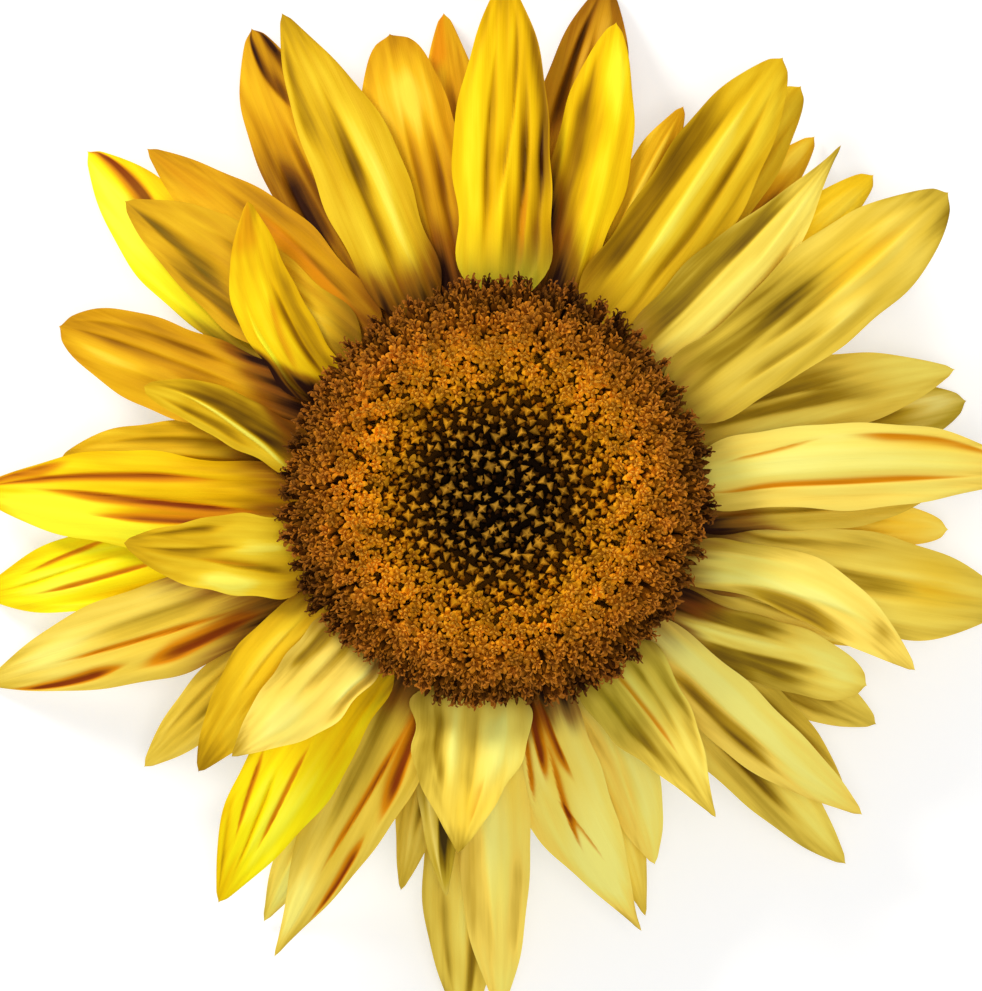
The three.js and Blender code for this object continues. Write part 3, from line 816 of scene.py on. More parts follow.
# %% The middle row
petal("middle_01", "amber", half(0.15, 1, 0.7, 0.03, 0.8, 0.2),
      fold(-0.04, 0.1, 0.7, 0.04, 0.74, 0.15), light(0.35, -0.5, 0.25, 0.25, 0.9),
      fold(0.5, 0.2, 0.8, 0.3, 0.6), fold(0.15, 0.18, 0.9, 0.74, 1.02, 0.8),
      fold(-0.8, 0.2, 0.9, 0.74, 1.0), fold(-0.85, 0.12, 0.5, 0.1, 0.6), foot=0.9, reach=0.14)
petal("middle_02", "cream", warm(0.78, 0.2, 0.14, 0.7, 0.9), fold(0.72, 0.12, 0.5, 0.15, 0.6),
      fold(0.12, 0.22, 0.7, 0.2, 0.8, 0.1), light(0.76, 0.3, 0.14, 0.14, 0.9),
      light(0.6, -0.5, 0.2, 0.3, 0.3), streak(0.1, 0.1, 0.15, 0.7, 0.95), foot=0.8, reach=0.14)
petal("middle_03", "amber", fold(0.1, 0.1, 0.5, 0.15, 0.78), fold(-0.4, 0.12, 0.5, 0.12, 0.72),
      light(0.76, 0.0, 0.16, 0.6, 0.8), foot=1.0, reach=0.24, lean=-0.4)
petal("middle_04", "gold", warm(0.6, 0.5, 0.3, 0.5, 0.5), fold(0.36, 0.28, 0.75, 0.24, 0.88, 0.3),
      fold(-0.15, 0.12, 0.5, 0.0, 0.62, 0.2), light(0.9, -0.3, 0.1, 0.5, 0.3),
      streak(-0.4, 0.2, 0.25, 0.0, 0.4), foot=0.4)
petal("middle_05", "cream", half(-0.1, 1, 1.0, 0.04, 0.74, -0.5),
      ridge(0.34, 0.1, 0.6, 0.06, 0.55, -0.3), ridge(-0.4, 0.2, 0.4, 0.05, 0.7, -0.2),
      light(0.88, 0.0, 0.16, 0.8, 0.35), foot=0.35, tip=0.0)
petal("middle_06", "sun", light(0.85, -0.3, 0.13, 0.5, 0.9), ridge(-0.45, 0.3, 0.5, 0.05, 0.66, 0.2),
      fold(0.5, 0.4, 0.65, 0.05, 0.92), foot=1.0, reach=0.24, lean=-0.8, tip=0.0)
petal("middle_07", "straw", fold(-0.3, 0.14, 0.7, 0.1, 0.66), ridge(0.2, 0.2, 0.5, 0.1, 0.9),
      foot=1.0, reach=0.24, tip=0.0)
petal("middle_08", "cream", light(0.9, 0.1, 0.12, 0.8, 0.3), half(0.3, 1, 1.25, 0.03, 0.66, 0.3),
      half(-0.12, -1, 1.25, 0.2, 0.88, 0.6), ridge(0.12, 0.16, 0.6, 0.1, 0.7, 0.5),
      light(0.85, 0.3, 0.2, 0.6, 0.35), foot=0.85, reach=0.2)
petal("middle_09", "ivory", half(-0.05, -1, 0.62, 0.16, 0.8, -0.3),
      ridge(0.3, 0.25, 0.5, 0.05, 0.8, -0.2), light(0.3, 0.35, 0.26, 0.4, 0.85),
      fold(-0.45, 0.22, 0.75, 0.12, 0.72, -0.3), light(0.6, 0.0, 0.4, 0.8, 0.25),
      light(0.8, -0.2, 0.15, 0.5, 0.5), foot=0.35)
petal("middle_10", "ivory", half(-0.1, -1, 0.4, 0.2, 0.92, 0.3), light(0.5, 0.0, 0.5, 1.0, 0.3),
      fold(-0.05, 0.16, 0.55, 0.25, 0.78, -0.4), light(0.75, 0.2, 0.3, 0.6, 0.4),
      light(0.3, 0.3, 0.2, 0.3, 0.3), foot=0.5, green=0.1, green_to=0.3, tip=0.02)
petal("middle_11", "ivory", warm(0.3, 0.1, 0.2, 0.5, 0.7), light(0.5, 0.0, 0.4, 1.0, 0.35),
      streak(0.25, 0.09, 0.8, 0.06, 0.38, 0.1), streak(-0.15, 0.12, 1.0, 0.05, 0.34, -0.2),
      streak(-0.1, 0.07, 0.65, 0.26, 0.64, -0.3), streak(-0.5, 0.07, 0.65, 0.12, 0.4, -0.3),
      streak(0.02, 0.05, 0.4, 0.44, 0.7, 0.4), light(0.75, 0.0, 0.13, 0.6, 0.9),
      light(0.3, -0.35, 0.1, 0.2, 0.7), light(0.5, 0.4, 0.4, 0.4, 0.35), foot=1.0, reach=0.13,
      tip=0.3)
petal("middle_12", "ivory", warm(0.3, 0.5, 0.12, 0.4, 0.6), light(0.5, 0.0, 0.22, 0.6, 0.5),
      light(0.2, 0.1, 0.16, 0.6, 0.7), half(-0.2, -1, 0.6, 0.4, 0.86, 0.3),
      light(0.93, 0.2, 0.06, 0.5, 0.3), fold(0.7, 0.2, 0.5, 0.5, 0.85), tip=0.05)
petal("middle_13", "olive", fold(0.35, 0.4, 0.6, 0.2, 0.9, -0.3),
      half(-0.05, 1, 1.15, 0.34, 0.98, -0.9), light(0.2, 0.0, 0.2, 0.7, 0.45),
      ridge(-0.4, 0.25, 0.5, 0.3, 1.0), foot=0.6, tip=0.0)
petal("middle_14", "straw", warm(0.4, 0.4, 0.3, 0.4, 0.4), streak(0.58, 0.16, 0.95, 0.04, 0.48, 0.25),
      streak(0.2, 0.07, 0.75, 0.2, 0.7, -0.25), streak(0.75, 0.12, 0.9, 0.55, 0.84, 0.3),
      light(0.85, -0.2, 0.12, 0.6, 0.8), fold(-0.3, 0.18, 0.5, 0.05, 0.6),
      light(0.4, -0.65, 0.2, 0.2, 0.35), foot=0.8, reach=0.12)
petal("middle_15", "lemon", warm(0.4, 0.2, 0.25, 0.6, 0.5), streak(0.2, 0.06, 0.65, 0.4, 0.78, 0.3),
      streak(-0.6, 0.06, 0.65, 0.5, 0.78, 0.3), fold(-0.1, 0.06, 0.6, 0.55, 0.88, 0.3),
      light(0.65, 0.0, 0.2, 0.7, 0.6), fold(0.6, 0.2, 0.5, 0.1, 0.45),
      fold(-0.75, 0.08, 0.4, 0.7, 0.95, 0.2), foot=0.35)
petal("middle_16", "gold", warm(0.45, -0.3, 0.2, 0.7, 0.8), fold(0.25, 0.12, 0.4, 0.2, 0.7),
      light(0.45, -0.3, 0.2, 0.4, 0.55), fold(-0.2, 0.06, 0.35, 0.2, 0.6, 0.1), foot=0.4, tip=0.3)
petal("middle_17", "sun", light(0.8, 0.0, 0.3, 1.0, 0.5), fold(0.2, 0.3, 0.4, 0.05, 0.6),
      streak(0.42, 0.1, 0.85, 0.05, 0.66, -0.1), streak(0.0, 0.1, 0.85, 0.1, 0.84, -0.4),
      streak(-0.52, 0.09, 0.85, 0.24, 1.0, 0.05), streak(-0.85, 0.2, 0.75, 0.72, 1.05),
      ridge(0.75, 0.3, 0.5, 0.1, 0.6), light(0.75, 0.6, 0.2, 0.45, 0.9), foot=0.6)
petal("middle_18", "amber", fold(0.2, 0.12, 0.7, 0.12, 0.55, -0.2),
      fold(-0.15, 0.1, 0.55, 0.34, 0.95), fold(-0.55, 0.12, 0.55, 0.34, 0.95),
      light(0.8, 0.35, 0.15, 0.22, 0.6), light(0.35, 0.5, 0.2, 0.3, 0.3), foot=1.0, reach=0.2,
      lean=0.6)
petal("middle_19", "amber", half(-0.1, -1, 0.3, 0.1, 0.7),
      streak(-0.35, 0.24, 0.42, 0.04, 0.66, -0.3), light(0.35, 0.2, 0.3, 0.25, 0.8),
      fold(0.55, 0.12, 0.6, 0.15, 0.6), streak(0.2, 0.6, 0.2, 0.7, 1.05), foot=0.5)
petal("middle_20", "amber", half(0.2, 1, 0.4, 0.1, 0.9), light(0.3, -0.2, 0.2, 0.35, 0.9),
      fold(0.3, 0.22, 0.75, 0.5, 0.98, -0.3), fold(-0.5, 0.1, 0.6, 0.2, 0.7),
      fold(0.75, 0.12, 0.5, 0.3, 0.8), foot=0.5, green=0.12, green_to=1.2)
print("petals so far", len(rays))

# %% [markdown]
# Of the back row only the tips and narrow slivers are seen, so most marks sit near the tip. Their feet
# are the darkest, with painted shade over their own colour, because they stand deepest in the shade.

# %% The back row
petal("back_01", "lemon", streak(-0.55, 0.24, 1.0, 0.7, 1.04, -0.7), light(0.8, 0.4, 0.2, 0.7, 0.8),
      fold(-0.1, 0.2, 0.5, 0.4, 0.75), green=0.15, green_to=0.8, tip=0.0)
petal("back_02", "amber", streak(0.7, 0.5, 0.5, 0.8, 1.05), fold(0.0, 0.2, 0.6, 0.3, 0.85), tip=0.0)
petal("back_03", "umber", light(0.7, 0.1, 0.3, 0.6, 0.3), fold(0.5, 0.14, 1.0, 0.5, 0.95, -0.2),
      fold(0.05, 0.12, 0.7, 0.4, 0.85), ridge(0.3, 0.12, 0.6, 0.3, 0.9),
      ridge(-0.4, 0.3, 0.6, 0.5, 1.0), foot=1.0, reach=0.3)
petal("back_04", "amber", fold(0.32, 0.18, 0.9, 0.4, 0.85), light(0.9, 0.0, 0.12, 0.7, 0.7),
      fold(-0.4, 0.2, 0.5, 0.4, 0.8), tip=0.0)
petal("back_05", "gold", warm(0.9, 0.2, 0.2, 1.0, 0.9), light(0.86, -0.1, 0.12, 0.6, 0.8),
      fold(0.2, 0.15, 0.5, 0.3, 0.75), fold(-0.5, 0.15, 0.6, 0.4, 0.8), tip=0.0)
petal("back_06", "olive", fold(0.1, 0.2, 0.7, 0.4, 0.85), light(0.9, 0.2, 0.1, 0.5, 0.5), foot=0.8)
petal("back_07", "straw", warm(0.85, 0.1, 0.16, 1.0, 0.95), light(0.7, 0.0, 0.4, 1.0, 0.3),
      light(0.92, 0.0, 0.12, 0.7, 0.8), fold(0.2, 0.14, 0.6, 0.3, 0.8),
      fold(-0.3, 0.14, 0.6, 0.3, 0.8), tip=0.0)
petal("back_08", "cream", half(0.0, -1, 0.4, 0.4, 0.95), fold(0.1, 0.25, 0.5, 0.3, 0.85),
      fold(-0.6, 0.15, 0.4, 0.4, 0.9), foot=0.6)
petal("back_09", "cream", half(0.1, -1, 0.3, 0.4, 0.95), fold(0.1, 0.14, 0.5, 0.15, 0.6),
      fold(-0.2, 0.2, 0.6, 0.35, 0.78, -0.1), light(0.85, 0.2, 0.15, 0.4, 0.5), foot=0.4)
petal("back_10", "cream", half(0.1, 1, 0.6, 0.5, 0.92, 0.2), fold(0.4, 0.24, 0.6, 0.7, 0.98, -0.2),
      light(0.7, 0.1, 0.15, 0.4, 0.5), fold(-0.5, 0.15, 0.5, 0.6, 0.9),
      light(0.93, -0.3, 0.08, 0.4, 0.5))
petal("back_11", "ivory", half(-0.2, -1, 0.3, 0.4, 0.95), light(0.6, 0.0, 0.4, 1.0, 0.35),
      light(0.85, 0.2, 0.13, 0.6, 0.75), fold(-0.3, 0.2, 0.5, 0.3, 0.85), green=0.22, green_to=1.2,
      tip=0.3)
petal("back_12", "straw", warm(0.5, 0.0, 0.3, 1.0, 0.6), fold(0.2, 0.15, 0.6, 0.3, 0.8),
      fold(-0.4, 0.15, 0.5, 0.4, 0.85), tip=0.0)
petal("back_13", "lemon", streak(0.2, 0.07, 0.65, 0.45, 0.84, 0.3),
      streak(-0.6, 0.07, 0.65, 0.6, 0.85, 0.3), fold(-0.15, 0.06, 0.6, 0.6, 0.92, 0.3),
      light(0.75, 0.0, 0.2, 0.7, 0.6), fold(0.7, 0.12, 0.5, 0.4, 0.8))
petal("back_14", "gold", fold(0.0, 0.12, 0.7, 0.2, 0.85, -0.2), fold(-0.5, 0.12, 0.6, 0.3, 0.8, -0.1),
      fold(0.6, 0.12, 0.5, 0.2, 0.7), ridge(0.25, 0.12, 0.5, 0.3, 0.9))
petal("back_15", "amber", ridge(0.1, 0.2, 0.7, 0.4, 0.95), fold(-0.4, 0.2, 0.6, 0.5, 0.9), foot=0.8)
petal("back_16", "olive", fold(0.35, 0.5, 1.0, 0.1, 0.9), foot=0.9, reach=0.3, tip=0.0)
petal("back_17", "straw", light(0.5, 0.2, 0.4, 0.8, 0.3), fold(0.0, 0.3, 0.7, 0.2, 0.8),
      ridge(-0.7, 0.2, 0.5, 0.3, 0.9), foot=0.6)
petal("back_18", "straw", half(0.1, 1, 0.6, 0.5, 0.95), streak(0.3, 0.4, 0.48, 0.74, 1.05),
      fold(0.2, 0.25, 0.6, 0.4, 0.8), foot=0.6)
petal("back_19", "straw", light(0.5, 0.0, 0.5, 1.0, 0.35), ridge(0.4, 0.3, 0.4, 0.1, 0.6),
      fold(-0.5, 0.2, 0.5, 0.2, 0.7), green=0.55, green_to=0.55)
petal("back_20", "straw", fold(0.2, 0.24, 0.9, 0.3, 0.75, -0.3), ridge(-0.2, 0.2, 0.4, 0.3, 0.9))
petal("back_21", "straw", warm(0.4, 0.3, 0.3, 0.5, 0.4), streak(0.58, 0.18, 0.95, 0.2, 0.56, 0.2),
      streak(0.12, 0.06, 0.7, 0.3, 0.78, -0.15), streak(0.75, 0.14, 0.95, 0.62, 0.92, 0.4),
      light(0.8, -0.2, 0.15, 0.6, 0.8), fold(-0.3, 0.16, 0.5, 0.3, 0.7),
      light(0.5, -0.6, 0.15, 0.2, 0.3))
print("petals", len(rays), "points each", len(rays[0].data.vertices))

# %% [markdown]
# ## The disc
#
# The disc holds more than a thousand small tubular flowers, set by the plant at equal turns of about
# 137.5 degrees, each a little further out: distance is a constant times the square root of the number.
# Those in the middle are closed buds with a tan star of lobes over a dark tube, those round them are
# open, with five bent-back lobes, a dark tube of anthers and two or three curled stigmas, and at the rim
# they are old, brown and ragged. Between them stand pointed scales. Places closer to the rim are pushed
# out a little at six bearings, so that the outline isn't a perfect circle.

# %% Places on the spiral
GOLDEN_TURN = math.pi * (3 - math.sqrt(5))
BUD_ZONE = 16 * MM
RIM_TUFTS = (5, 62, 85, 188, 215, 300)
TUFT_PUSH = 1.2 * MM
UNEVENNESS = 0.14 * MM
rng = np.random.default_rng(11)


def disc_places(reach, pitch, crowded_pitch, offset):
    """Distance and bearing of each place: pitch * sqrt(number), crowded more closely outside the buds."""
    inner = (BUD_ZONE / pitch) ** 2
    count = int(inner + (reach**2 - BUD_ZONE**2) / crowded_pitch**2)
    number = np.arange(count) + offset
    bearing = number * GOLDEN_TURN
    crowded = np.sqrt(BUD_ZONE**2 + np.maximum(number - inner, 0) * crowded_pitch**2)
    distance = np.where(number < inner, pitch * np.sqrt(number), crowded)
    distance = distance + rng.normal(0, UNEVENNESS, count)
    for tuft in RIM_TUFTS:
        near = smoothstep(0.955, 1.0, np.cos(bearing - math.radians(tuft)))
        distance = distance + TUFT_PUSH * near * smoothstep(24 * MM, 33 * MM, distance)
    return distance, bearing


print("angle between one floret and the next", round(math.degrees(GOLDEN_TURN), 2))

# %% [markdown]
# The florets' feet stand on a bed that falls away towards the rim, and their tips make the domed ring
# that is seen. Tips and feet are given as heights at a few distances from the axis. In the outer ring a
# foot stands nearer the axis than its tip, so the florets lean out more and more and hang over the edge.

# %% Where the florets stand
TOP_KNOTS = np.array([0, 8, 16, 22, 27, 31, 35.5]) * MM
TOP_HEIGHTS = np.array([4.4, 4.7, 5.8, 6.9, 6.6, 4.9, 2.0]) * MM
FOOT_KNOTS = np.array([0, 12, 24, 28, 29.5]) * MM
FOOT_HEIGHTS = np.array([0.0, -0.1, -0.9, -1.9, -3.2]) * MM
LEAN_FROM = 22 * MM
LEAN_SHARE = 0.52
TIP_UNEVENNESS = 0.25 * MM


def disc_height(radius):
    """Height of the floret tips, by distance from the axis."""
    return HEAD_CROWN + np.interp(radius, TOP_KNOTS, TOP_HEIGHTS)


def bed_height(radius):
    """Height of the floret feet, by distance from the axis."""
    return HEAD_CROWN + 0.2 * MM + np.interp(radius, FOOT_KNOTS, FOOT_HEIGHTS)


def polar_points(radius, angle, z):
    """Points at a distance and bearing from the head's axis: axis + radius * (cos, sin), at height z."""
    return np.stack([AXIS_X + radius * np.cos(angle), AXIS_Y + radius * np.sin(angle), z], -1)


def stand(distance, bearing, lower=0.0):
    """Feet and tips of parts that lean outwards towards the rim of the disc."""
    leaning = LEAN_FROM + (distance - LEAN_FROM) * LEAN_SHARE
    foot = np.where(distance < LEAN_FROM, distance, leaning)
    tip_height = disc_height(distance) + rng.normal(0, TIP_UNEVENNESS, len(distance)) - lower
    return polar_points(foot, bearing, bed_height(foot)), polar_points(distance, bearing, tip_height)


print("height of the disc", round((disc_height(LEAN_FROM) - HEAD_CROWN) / MM, 1), "mm over the crown")

# %% [markdown]
# A floret is made of two simple shapes: a tube, which is a stack of rings, and a spike with a
# three-sided section along a curved path. With lobes, each ring of the tube swells and pinches, so its
# top becomes a star; a second, slower swelling makes the star lopsided, as a real bud's is. Templates are
# in millimetres, with the foot at the origin and the tip up.

# %% Shapes for templates


def tube_template(profile, sides, lobes=None):
    """Rings of (radius, height), closed on top.

    With lobes, the radius at angle a is multiplied by 1 + swell * (cos(sides a / 2) + 0.55 cos(a + 0.8)).
    """
    profile = np.array(profile, float)
    angle = np.arange(sides) * 2 * np.pi / sides
    swell = np.zeros(len(profile)) if lobes is None else np.array(lobes)
    star = np.cos(sides / 2 * angle) + 0.55 * np.cos(angle + 0.8)
    radius = profile[:, :1] * (1 + swell[:, None] * star)
    height = profile[:, 1:] * np.ones(sides)
    points = np.stack([radius * np.cos(angle), radius * np.sin(angle), height], -1)
    faces = [f[::-1] for f in loft_faces(len(profile), sides, closed_ends=False)]
    last = (len(profile) - 1) * sides
    points = np.vstack([points.reshape(-1, 3), [0, 0, profile[-1, 1]]])
    faces += [[last + j, last + (j + 1) % sides, len(points) - 1] for j in range(sides)]
    return points, faces


def spike_template(path, widths, lift):
    """A curved spike with a three-sided section along a path of (out, up), ending in a point."""
    path = np.array(path, float)
    widths = np.array(widths, float)
    left = np.stack([path[:-1, 0], widths, path[:-1, 1]], -1)
    right = np.stack([path[:-1, 0], -widths, path[:-1, 1]], -1)
    top = np.stack([path[:-1, 0], 0 * widths, path[:-1, 1] + lift * widths], -1)
    rings = np.stack([left, top, right], 1).reshape(-1, 3)
    points = np.vstack([rings, [path[-1, 0], 0, path[-1, 1]]])
    faces = loft_faces(len(widths), 3, closed_ends=False)
    last = (len(widths) - 1) * 3
    end = len(points) - 1
    faces += [[last, end, last + 1], [last + 1, end, last + 2], [last + 2, end, last], [0, 1, 2]]
    return points, faces


def spun(template, angle, size=1.0):
    """A template turned about its own axis, and made larger or smaller in plan."""
    points, faces = template
    c, s = math.cos(angle) * size, math.sin(angle) * size
    return points @ np.array([[c, s, 0], [-s, c, 0], [0, 0, 1]]), faces


def gathered(parts):
    """Several parts as one template, with the kind of part stored for each point."""
    points, faces, kinds = [], [], []
    start = 0
    for kind, (part_points, part_faces) in parts:
        points.append(part_points)
        faces += [[start + i for i in f] for f in part_faces]
        kinds.append(np.full(len(part_points), kind))
        start += len(part_points)
    return np.vstack(points), faces, np.concatenate(kinds)


print("faces of a plain tube of two rings", len(tube_template([(1, 0), (1, 1)], 6)[1]))

# %% [markdown]
# There are three buds, with three, four and five lobes, and two flowers each for the open and the old
# florets. An old floret's lobes have dried upright and its stigmas curl out further. The scale is a plain
# tube that swells and comes to a point. With only a few templates the copies would look stamped, so each
# copy also gets its own size, turn, lean and colour later on.

# %% Templates
TUBE, LOBE, ANTHER, STIGMA = range(4)
FIFTH_TURN, THIRD_TURN = 1.2566, 2.1
BUD_PROFILE = [(0.5, 0), (0.7, 1.4), (0.78, 2.6), (0.7, 3.3), (0.68, 3.7), (0.5, 4.05), (0.12, 4.25)]
SCALE_PROFILE = [(0.3, 0), (0.46, 3.0), (0.56, 4.0), (0.4, 4.5), (0.05, 5.0)]
OPEN_LOBE = [(0.4, 4.3), (0.85, 4.75), (1.15, 4.6), (1.3, 4.15)]
OPEN_CURL = [(0.1, 5.0), (0.35, 5.5), (0.68, 5.45), (0.75, 5.1)]
OLD_LOBE = [(0.35, 4.2), (0.75, 4.85), (1.05, 4.95), (1.2, 4.6)]
OLD_CURL = [(0.1, 4.9), (0.45, 5.5), (0.85, 5.55), (1.15, 5.15)]


def bud_template(lobes, reach):
    """A closed bud: a tube whose top gathers into a star with the given number of lobes."""
    swell = [0, 0, 0.04, 0.16, reach, reach * 1.3, 0.3]
    return gathered([(TUBE, tube_template(BUD_PROFILE, 2 * lobes, swell))])


def flower_template(lobe_path, stigma_path, seeds):
    """An open floret: tube, anthers, five lobes of unequal size and curled stigmas."""
    parts = [(TUBE, tube_template([(0.45, 0), (0.6, 2.4), (0.78, 3.9), (0.5, 4.35)], 6)),
             (ANTHER, tube_template([(0.3, 4.0), (0.34, 4.9), (0.14, 5.3)], 5))]
    lobe = spike_template(lobe_path, [0.34, 0.33, 0.18], 0.5)
    for k in range(5):
        size = 0.85 + 0.3 * math.sin(seeds * 7 + k * 2.4) ** 2
        parts.append((LOBE, spun(lobe, k * FIFTH_TURN + seeds, size)))
    stigma = spike_template(stigma_path, [0.15, 0.15, 0.1], 1.2)
    for k in range(3):
        parts.append((STIGMA, spun(stigma, k * THIRD_TURN + seeds * 3)))
    return gathered(parts)


buds_of = [bud_template(lobes, reach) for lobes, reach in ((3, 0.36), (4, 0.36), (5, 0.3))]
open_kinds = [flower_template(OPEN_LOBE, OPEN_CURL, seed) for seed in (0.3, 0.9)]
old_kinds = [flower_template(OLD_LOBE, OLD_CURL, seed) for seed in (0.5, 1.1)]
scale_kind = gathered([(LOBE, tube_template(SCALE_PROFILE, 4))])
print("faces of a bud and an open floret", len(buds_of[2][1]), len(open_kinds[0][1]))

# %% [markdown]
# Colour follows age, and age follows the distance from the axis: near-black and tan in the middle,
# bright orange in the open ring, rust at the rim. Each part of a floret has its own run of six colours,
# one at each knot of distance. Deep down between the florets hardly any light arrives, so a colour is
# also darker towards the foot, and in the middle more than in the open ring.

# %% Colours of the disc
CENTRE_BLACK, STAR_TAN, RING_GOLD, RIM_RUST = "0E0602", "B88628", "E0940E", "A05C14"
AGE_KNOTS = np.array([0, 10, 16.5, 22, 28, 34]) * MM


def by_radius(radius, *codes):
    """A colour that passes through the given colours, one at each knot of radius."""
    table = np.array([linear(code) for code in codes])
    return np.stack([np.interp(radius, AGE_KNOTS, table[:, channel]) for channel in range(3)], -1)


def part_colours(radius, points, kinds):
    """A colour for every point of every copy: the part's own colour at that radius, with painted shade
    darker towards the foot.
    """
    tube = by_radius(radius, "1C0E04", "5A3606", "B87408", "F4A00E", "C67612", "542A08")
    lobe = by_radius(radius, STAR_TAN, "C08822", "E09A12", "FFAE1A", "E28E1E", RIM_RUST)
    anther = by_radius(radius, CENTRE_BLACK, "2A1803", "8A5206", "D2870A", "9A580E", "3E1E06")
    stigma = by_radius(radius, STAR_TAN, RING_GOLD, "EAA022", "F4AE30", "D08426", "98581A")
    by_kind = np.stack([tube, lobe, anther, stigma])[kinds].transpose(1, 0, 2)
    bright = rng.uniform(0.7, 1.2, (len(radius), 1, 1))
    withered = rng.uniform(0, 1, bright.shape) < 0.4
    dark_tips = smoothstep(29 * MM, 33 * MM, radius)[:, None, None] * withered
    bright = bright * (1 - 0.6 * dark_tips)
    # Painted shade: darker towards the foot, most in the middle and least in the open ring.
    rise = smoothstep(2.2, 4.4, points[:, 2])[None, :, None]
    open_ring = smoothstep(9 * MM, 20 * MM, radius) * smoothstep(33 * MM, 27 * MM, radius)
    depth = 0.27 + 0.6 * open_ring[:, None, None]
    return by_kind * bright * (depth + (1 - depth) * rise)


def bud_colours(radius, points, kinds):
    """A dark tube under a tan star, with the painted shade of part_colours towards the foot; towards the
    ring the star turns gold and the tube brown.
    """
    star = smoothstep(3.0, 3.8, points[:, 2])[None, :, None]
    dark = part_colours(radius, points, np.full(len(points), ANTHER))
    top = part_colours(radius, points, np.full(len(points), LOBE))
    return dark * (1 - star) + top * star


def scale_colours(radius, points, kinds):
    """Scales are nearly black between the buds and orange-brown in the open ring, with painted shade
    towards their feet.
    """
    low = by_radius(radius, "160A03", "5C3806", "C07A0A", "FFB016", "DE8C20", "643408")
    bright = rng.uniform(0.6, 1.25, (len(radius), 1, 1))
    # Painted shade towards the foot of each scale.
    rise = (0.3 + 0.7 * smoothstep(2.5, 4.6, points[:, 2]))[None, :, None]
    return low[:, None] * bright * rise


print("knots of age at", (AGE_KNOTS / MM).tolist(), "mm")

# %% [markdown]
# One small part of each kind is shaped, then copied to every place by array arithmetic, which is far
# quicker than a loop or a particle system and still gives each copy its own size, turn, lean and colour.
# All random numbers come from one generator with a fixed start, so the disc is the same at every run.

# %% Copy a template to many places


def copies_of(template, feet, tips, bearing, radius, top_height, colouring, spread):
    """Points, faces and colours of all copies: foot + x * tangent + y * outward + height * axis.

    The axis runs from a floret's foot to its tip, and the template's top height meets the tip.
    """
    points, faces, kinds = template
    count = len(feet)
    axis = tips - feet
    length = np.linalg.norm(axis, axis=1, keepdims=True)
    axis = axis / length
    tangent = np.stack([-np.sin(bearing), np.cos(bearing), 0 * bearing], -1)
    outward = np.cross(axis, tangent)
    spin = rng.uniform(0, 2 * np.pi, (count, 1))
    size = rng.uniform(0.75, 1.2, (count, 1)) * spread * MM
    narrow = rng.uniform(0.72, 1.0, (count, 1))
    x = (points[:, 0] * np.cos(spin) - points[:, 1] * narrow * np.sin(spin)) * size
    y = (points[:, 0] * np.sin(spin) + points[:, 1] * narrow * np.cos(spin)) * size
    lean = rng.normal(0, 0.1, (2, count, 1)) * points[:, 2] * MM
    along = points[:, 2] / top_height * length
    placed = feet[:, None] + (x + lean[0])[..., None] * tangent[:, None]
    placed = placed + (y + lean[1])[..., None] * outward[:, None] + along[..., None] * axis[:, None]
    start = np.arange(count)[:, None, None] * len(points)
    quads = np.array([f for f in faces if len(f) == 4])[None] + start
    threes = np.array([f for f in faces if len(f) == 3])[None] + start
    all_faces = quads.reshape(-1, 4).tolist() + threes.reshape(-1, 3).tolist()
    return placed.reshape(-1, 3), all_faces, colouring(radius, points, kinds).reshape(-1, 3)


def disc_piece(name, groups, node=None):
    """One mesh from several groups of copies; it may replace a packed ring."""
    points, faces, colours, start = [], [], [], 0
    for group_points, group_faces, group_colours in groups:
        points.append(group_points)
        faces += [[i + start for i in f] for f in group_faces]
        colours.append(group_colours)
        start += len(group_points)
    tints = {"tint": np.vstack(colours)}
    made = make_piece(name, np.vstack(points), faces, colours=tints, smooth_angle=50)
    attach(made, "root")
    if node:
        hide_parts(node)
    print(name, "faces", len(faces))
    return made


# %% [markdown]
# Which kind of floret stands at a place depends on its distance from the axis, blurred by a couple of
# millimetres for the buds, so that the last buds and the first open florets mingle as they do on a flower
# that is opening ring by ring.

# %% Florets and scales
FLORET_PITCH, CROWDED_PITCH = 1.14 * MM, 0.97 * MM
SCALE_PITCH, CROWDED_SCALE_PITCH = 0.8 * MM, 0.72 * MM
BUD_TOP, OPEN_TOP = 4.25, 5.0
distance, bearing = disc_places(33.8 * MM, FLORET_PITCH, CROWDED_PITCH, 0.5)
FLORET_COUNT = len(distance)
feet, tips = stand(distance, bearing)
age = distance + rng.normal(0, 2.0 * MM, FLORET_COUNT)
is_bud = age < 18 * MM
is_old = ~is_bud & (distance > 27.5 * MM)
is_open = ~is_bud & ~is_old
which = rng.integers(0, 6, FLORET_COUNT)
print("buds, open and old florets", is_bud.sum(), is_open.sum(), is_old.sum())


def groups_of(chosen, templates, top_height, colouring, spread):
    """Copies of each template in turn at its share of the chosen places."""
    for k, template in enumerate(templates):
        picked = np.flatnonzero(chosen & (which % len(templates) == k))
        yield copies_of(template, feet[picked], tips[picked], bearing[picked], distance[picked],
                        top_height, colouring, spread)


bud_groups = groups_of(is_bud, buds_of, BUD_TOP, bud_colours, 1.06)
bud_piece = disc_piece("disc_buds", bud_groups, "florets_bud")
open_groups = groups_of(is_open, open_kinds, OPEN_TOP, part_colours, 1.16)
open_piece = disc_piece("disc_open", open_groups, "florets_open")
old_groups = groups_of(is_old, old_kinds, OPEN_TOP, part_colours, 1.16)
old_piece = disc_piece("disc_rim", old_groups, "florets_rim")

